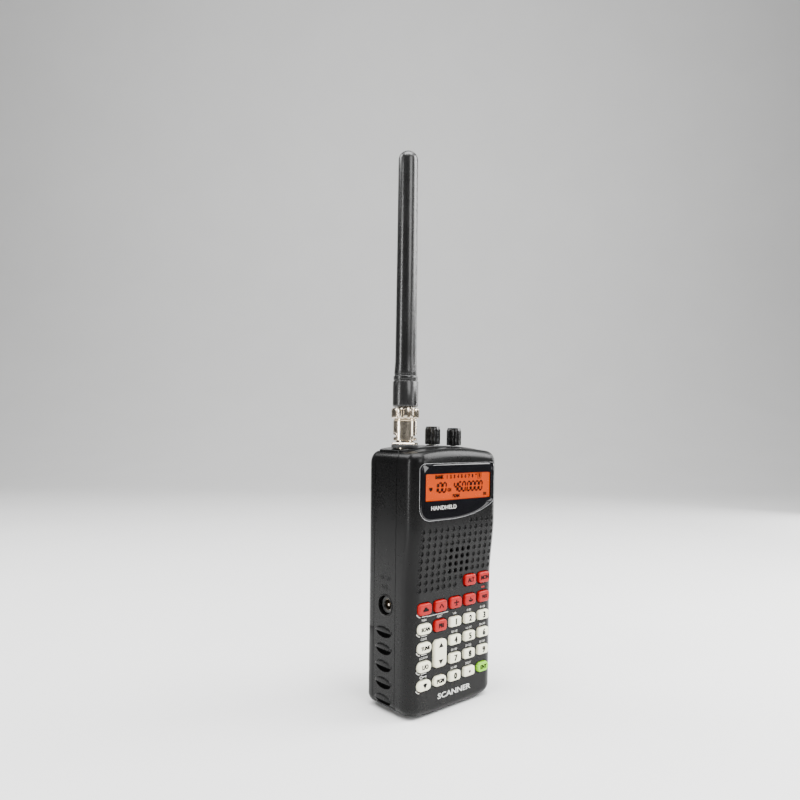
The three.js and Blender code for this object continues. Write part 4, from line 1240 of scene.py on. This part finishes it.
def build_floor():
    bm = bmesh.new()
    near, far, rise, radius = -900, 2400, 1200, 1100
    outline = [(near, 0), (-300, 0), (300, 0), (far - radius, 0)]
    outline += arc(far - radius, radius, radius, -90, 0, 20)[1:] + [(far, rise + radius)]
    sides = []
    for side in (-1, 1):
        reach = [side * max(650, 0.95 * (y + 380)) for y, z in outline]
        sides.append([bm.verts.new((x, y, z - 0.05)) for x, (y, z) in zip(reach, outline)])
    for i in range(len(outline) - 1):
        bm.faces.new((sides[0][i], sides[0][i + 1], sides[1][i + 1], sides[1][i]))
    bmesh.ops.rotate(bm, verts=bm.verts, matrix=Matrix.Rotation(math.radians(-40), 3, "Z"))
    floor = from_bmesh("floor", bm)
    floor.data.shade_smooth()
    material, tree, shader = new_material("floor_pale", (0.78, 0.78, 0.77), 0.7)
    tone = blend_colours(tree, remap(tree, noise(tree, 6, 2), 0, 1), (0.77, 0.77, 0.765), (0.79, 0.79, 0.785))
    tree.links.new(tone, shader.inputs["Base Color"])
    floor.data.materials.append(material)


def add_area(name, place, aim, size, power, colour=(1, 1, 1)):
    data = bpy.data.lights.new(name, "AREA")
    data.shape = "RECTANGLE"
    data.size, data.size_y = size
    data.energy = power
    data.color = colour
    light = bpy.data.objects.new(name, data)
    bpy.context.scene.collection.objects.link(light)
    light.location = place
    light.rotation_mode = "QUATERNION"
    light.rotation_quaternion = (Vector(aim) - Vector(place)).to_track_quat("-Z", "Y")


def build_lights():
    world = bpy.data.worlds.new("studio")
    bpy.context.scene.world = world
    world.use_nodes = True
    world.node_tree.nodes["Background"].inputs["Color"].default_value = (0.80, 0.80, 0.80, 1)
    world.node_tree.nodes["Background"].inputs["Strength"].default_value = 0.12
    middle = (0, 0, 0.11)
    # Each area light's name, place, aim, size in metres and power in watts
    add_area("overhead", (-0.05, -0.10, 1.0), middle, (1.0, 0.9), 14.0)
    add_area("front_high", (-0.12, -0.95, 0.62), middle, (0.4, 0.45), 5.0)
    add_area("left_strip", (-1.10, 0.25, 0.32), (0, 0, 0.16), (0.14, 0.7), 7.0)
    add_area("right_strip", (1.10, 0.02, 0.34), (0, 0, 0.12), (0.14, 0.7), 5.0)
    add_area("lens_spot", (0.45, -0.78, 0.25), (0, 0, 0.12), (0.18, 0.28), 1.8)
    add_area("top_edge", (0.46, -0.30, 0.52), (0, 0, 0.13), (0.34, 0.42), 8.0)
    add_area("brow_light", (-0.42, 0.60, 0.80), (0, 0, 0.05), (0.4, 0.4), 6.0)
    add_area("backdrop", (-0.2, -0.2, 1.9), (1.2, 1.5, 0.3), (1.6, 1.2), 72.0)


CAMERA_AZIMUTH, CAMERA_ROLL = -43.1, 0.785
CAMERA_REACH, CAMERA_HEIGHT, CAMERA_DIP = 0.3574, 0.1432, 1.6
CAMERA_LENS, CAMERA_SHIFT = 30.0, (-0.0438, 0.0656)


def build_camera():
    data = bpy.data.cameras.new("camera")
    data.lens = CAMERA_LENS
    data.sensor_width = 36
    data.shift_x, data.shift_y = CAMERA_SHIFT
    camera = bpy.data.objects.new("camera", data)
    bpy.context.scene.collection.objects.link(camera)
    a, dip = math.radians(CAMERA_AZIMUTH), math.radians(CAMERA_DIP)
    camera.location = (CAMERA_REACH * math.sin(a), -CAMERA_REACH * math.cos(a), CAMERA_HEIGHT)
    forward = Vector((-math.sin(a) * math.cos(dip), math.cos(a) * math.cos(dip), -math.sin(dip)))
    camera.rotation_mode = "QUATERNION"
    roll = Quaternion((0, 0, 1), math.radians(CAMERA_ROLL))
    camera.rotation_quaternion = forward.to_track_quat("-Z", "Y") @ roll
    bpy.context.scene.camera = camera


# ---------------------------------------------------------------- the whole

build_front_case()
build_rear_case()
build_lens()
build_display()
build_keys()
build_print()
build_door()
build_belt_clip()
build_screws()
build_sockets()
build_knob("volume_knob", "volume")
build_knob("squelch_knob", "squelch")
build_bayonet()
build_ring()
build_whip()
dress_inner_nodes()
build_floor()
build_lights()
build_camera()
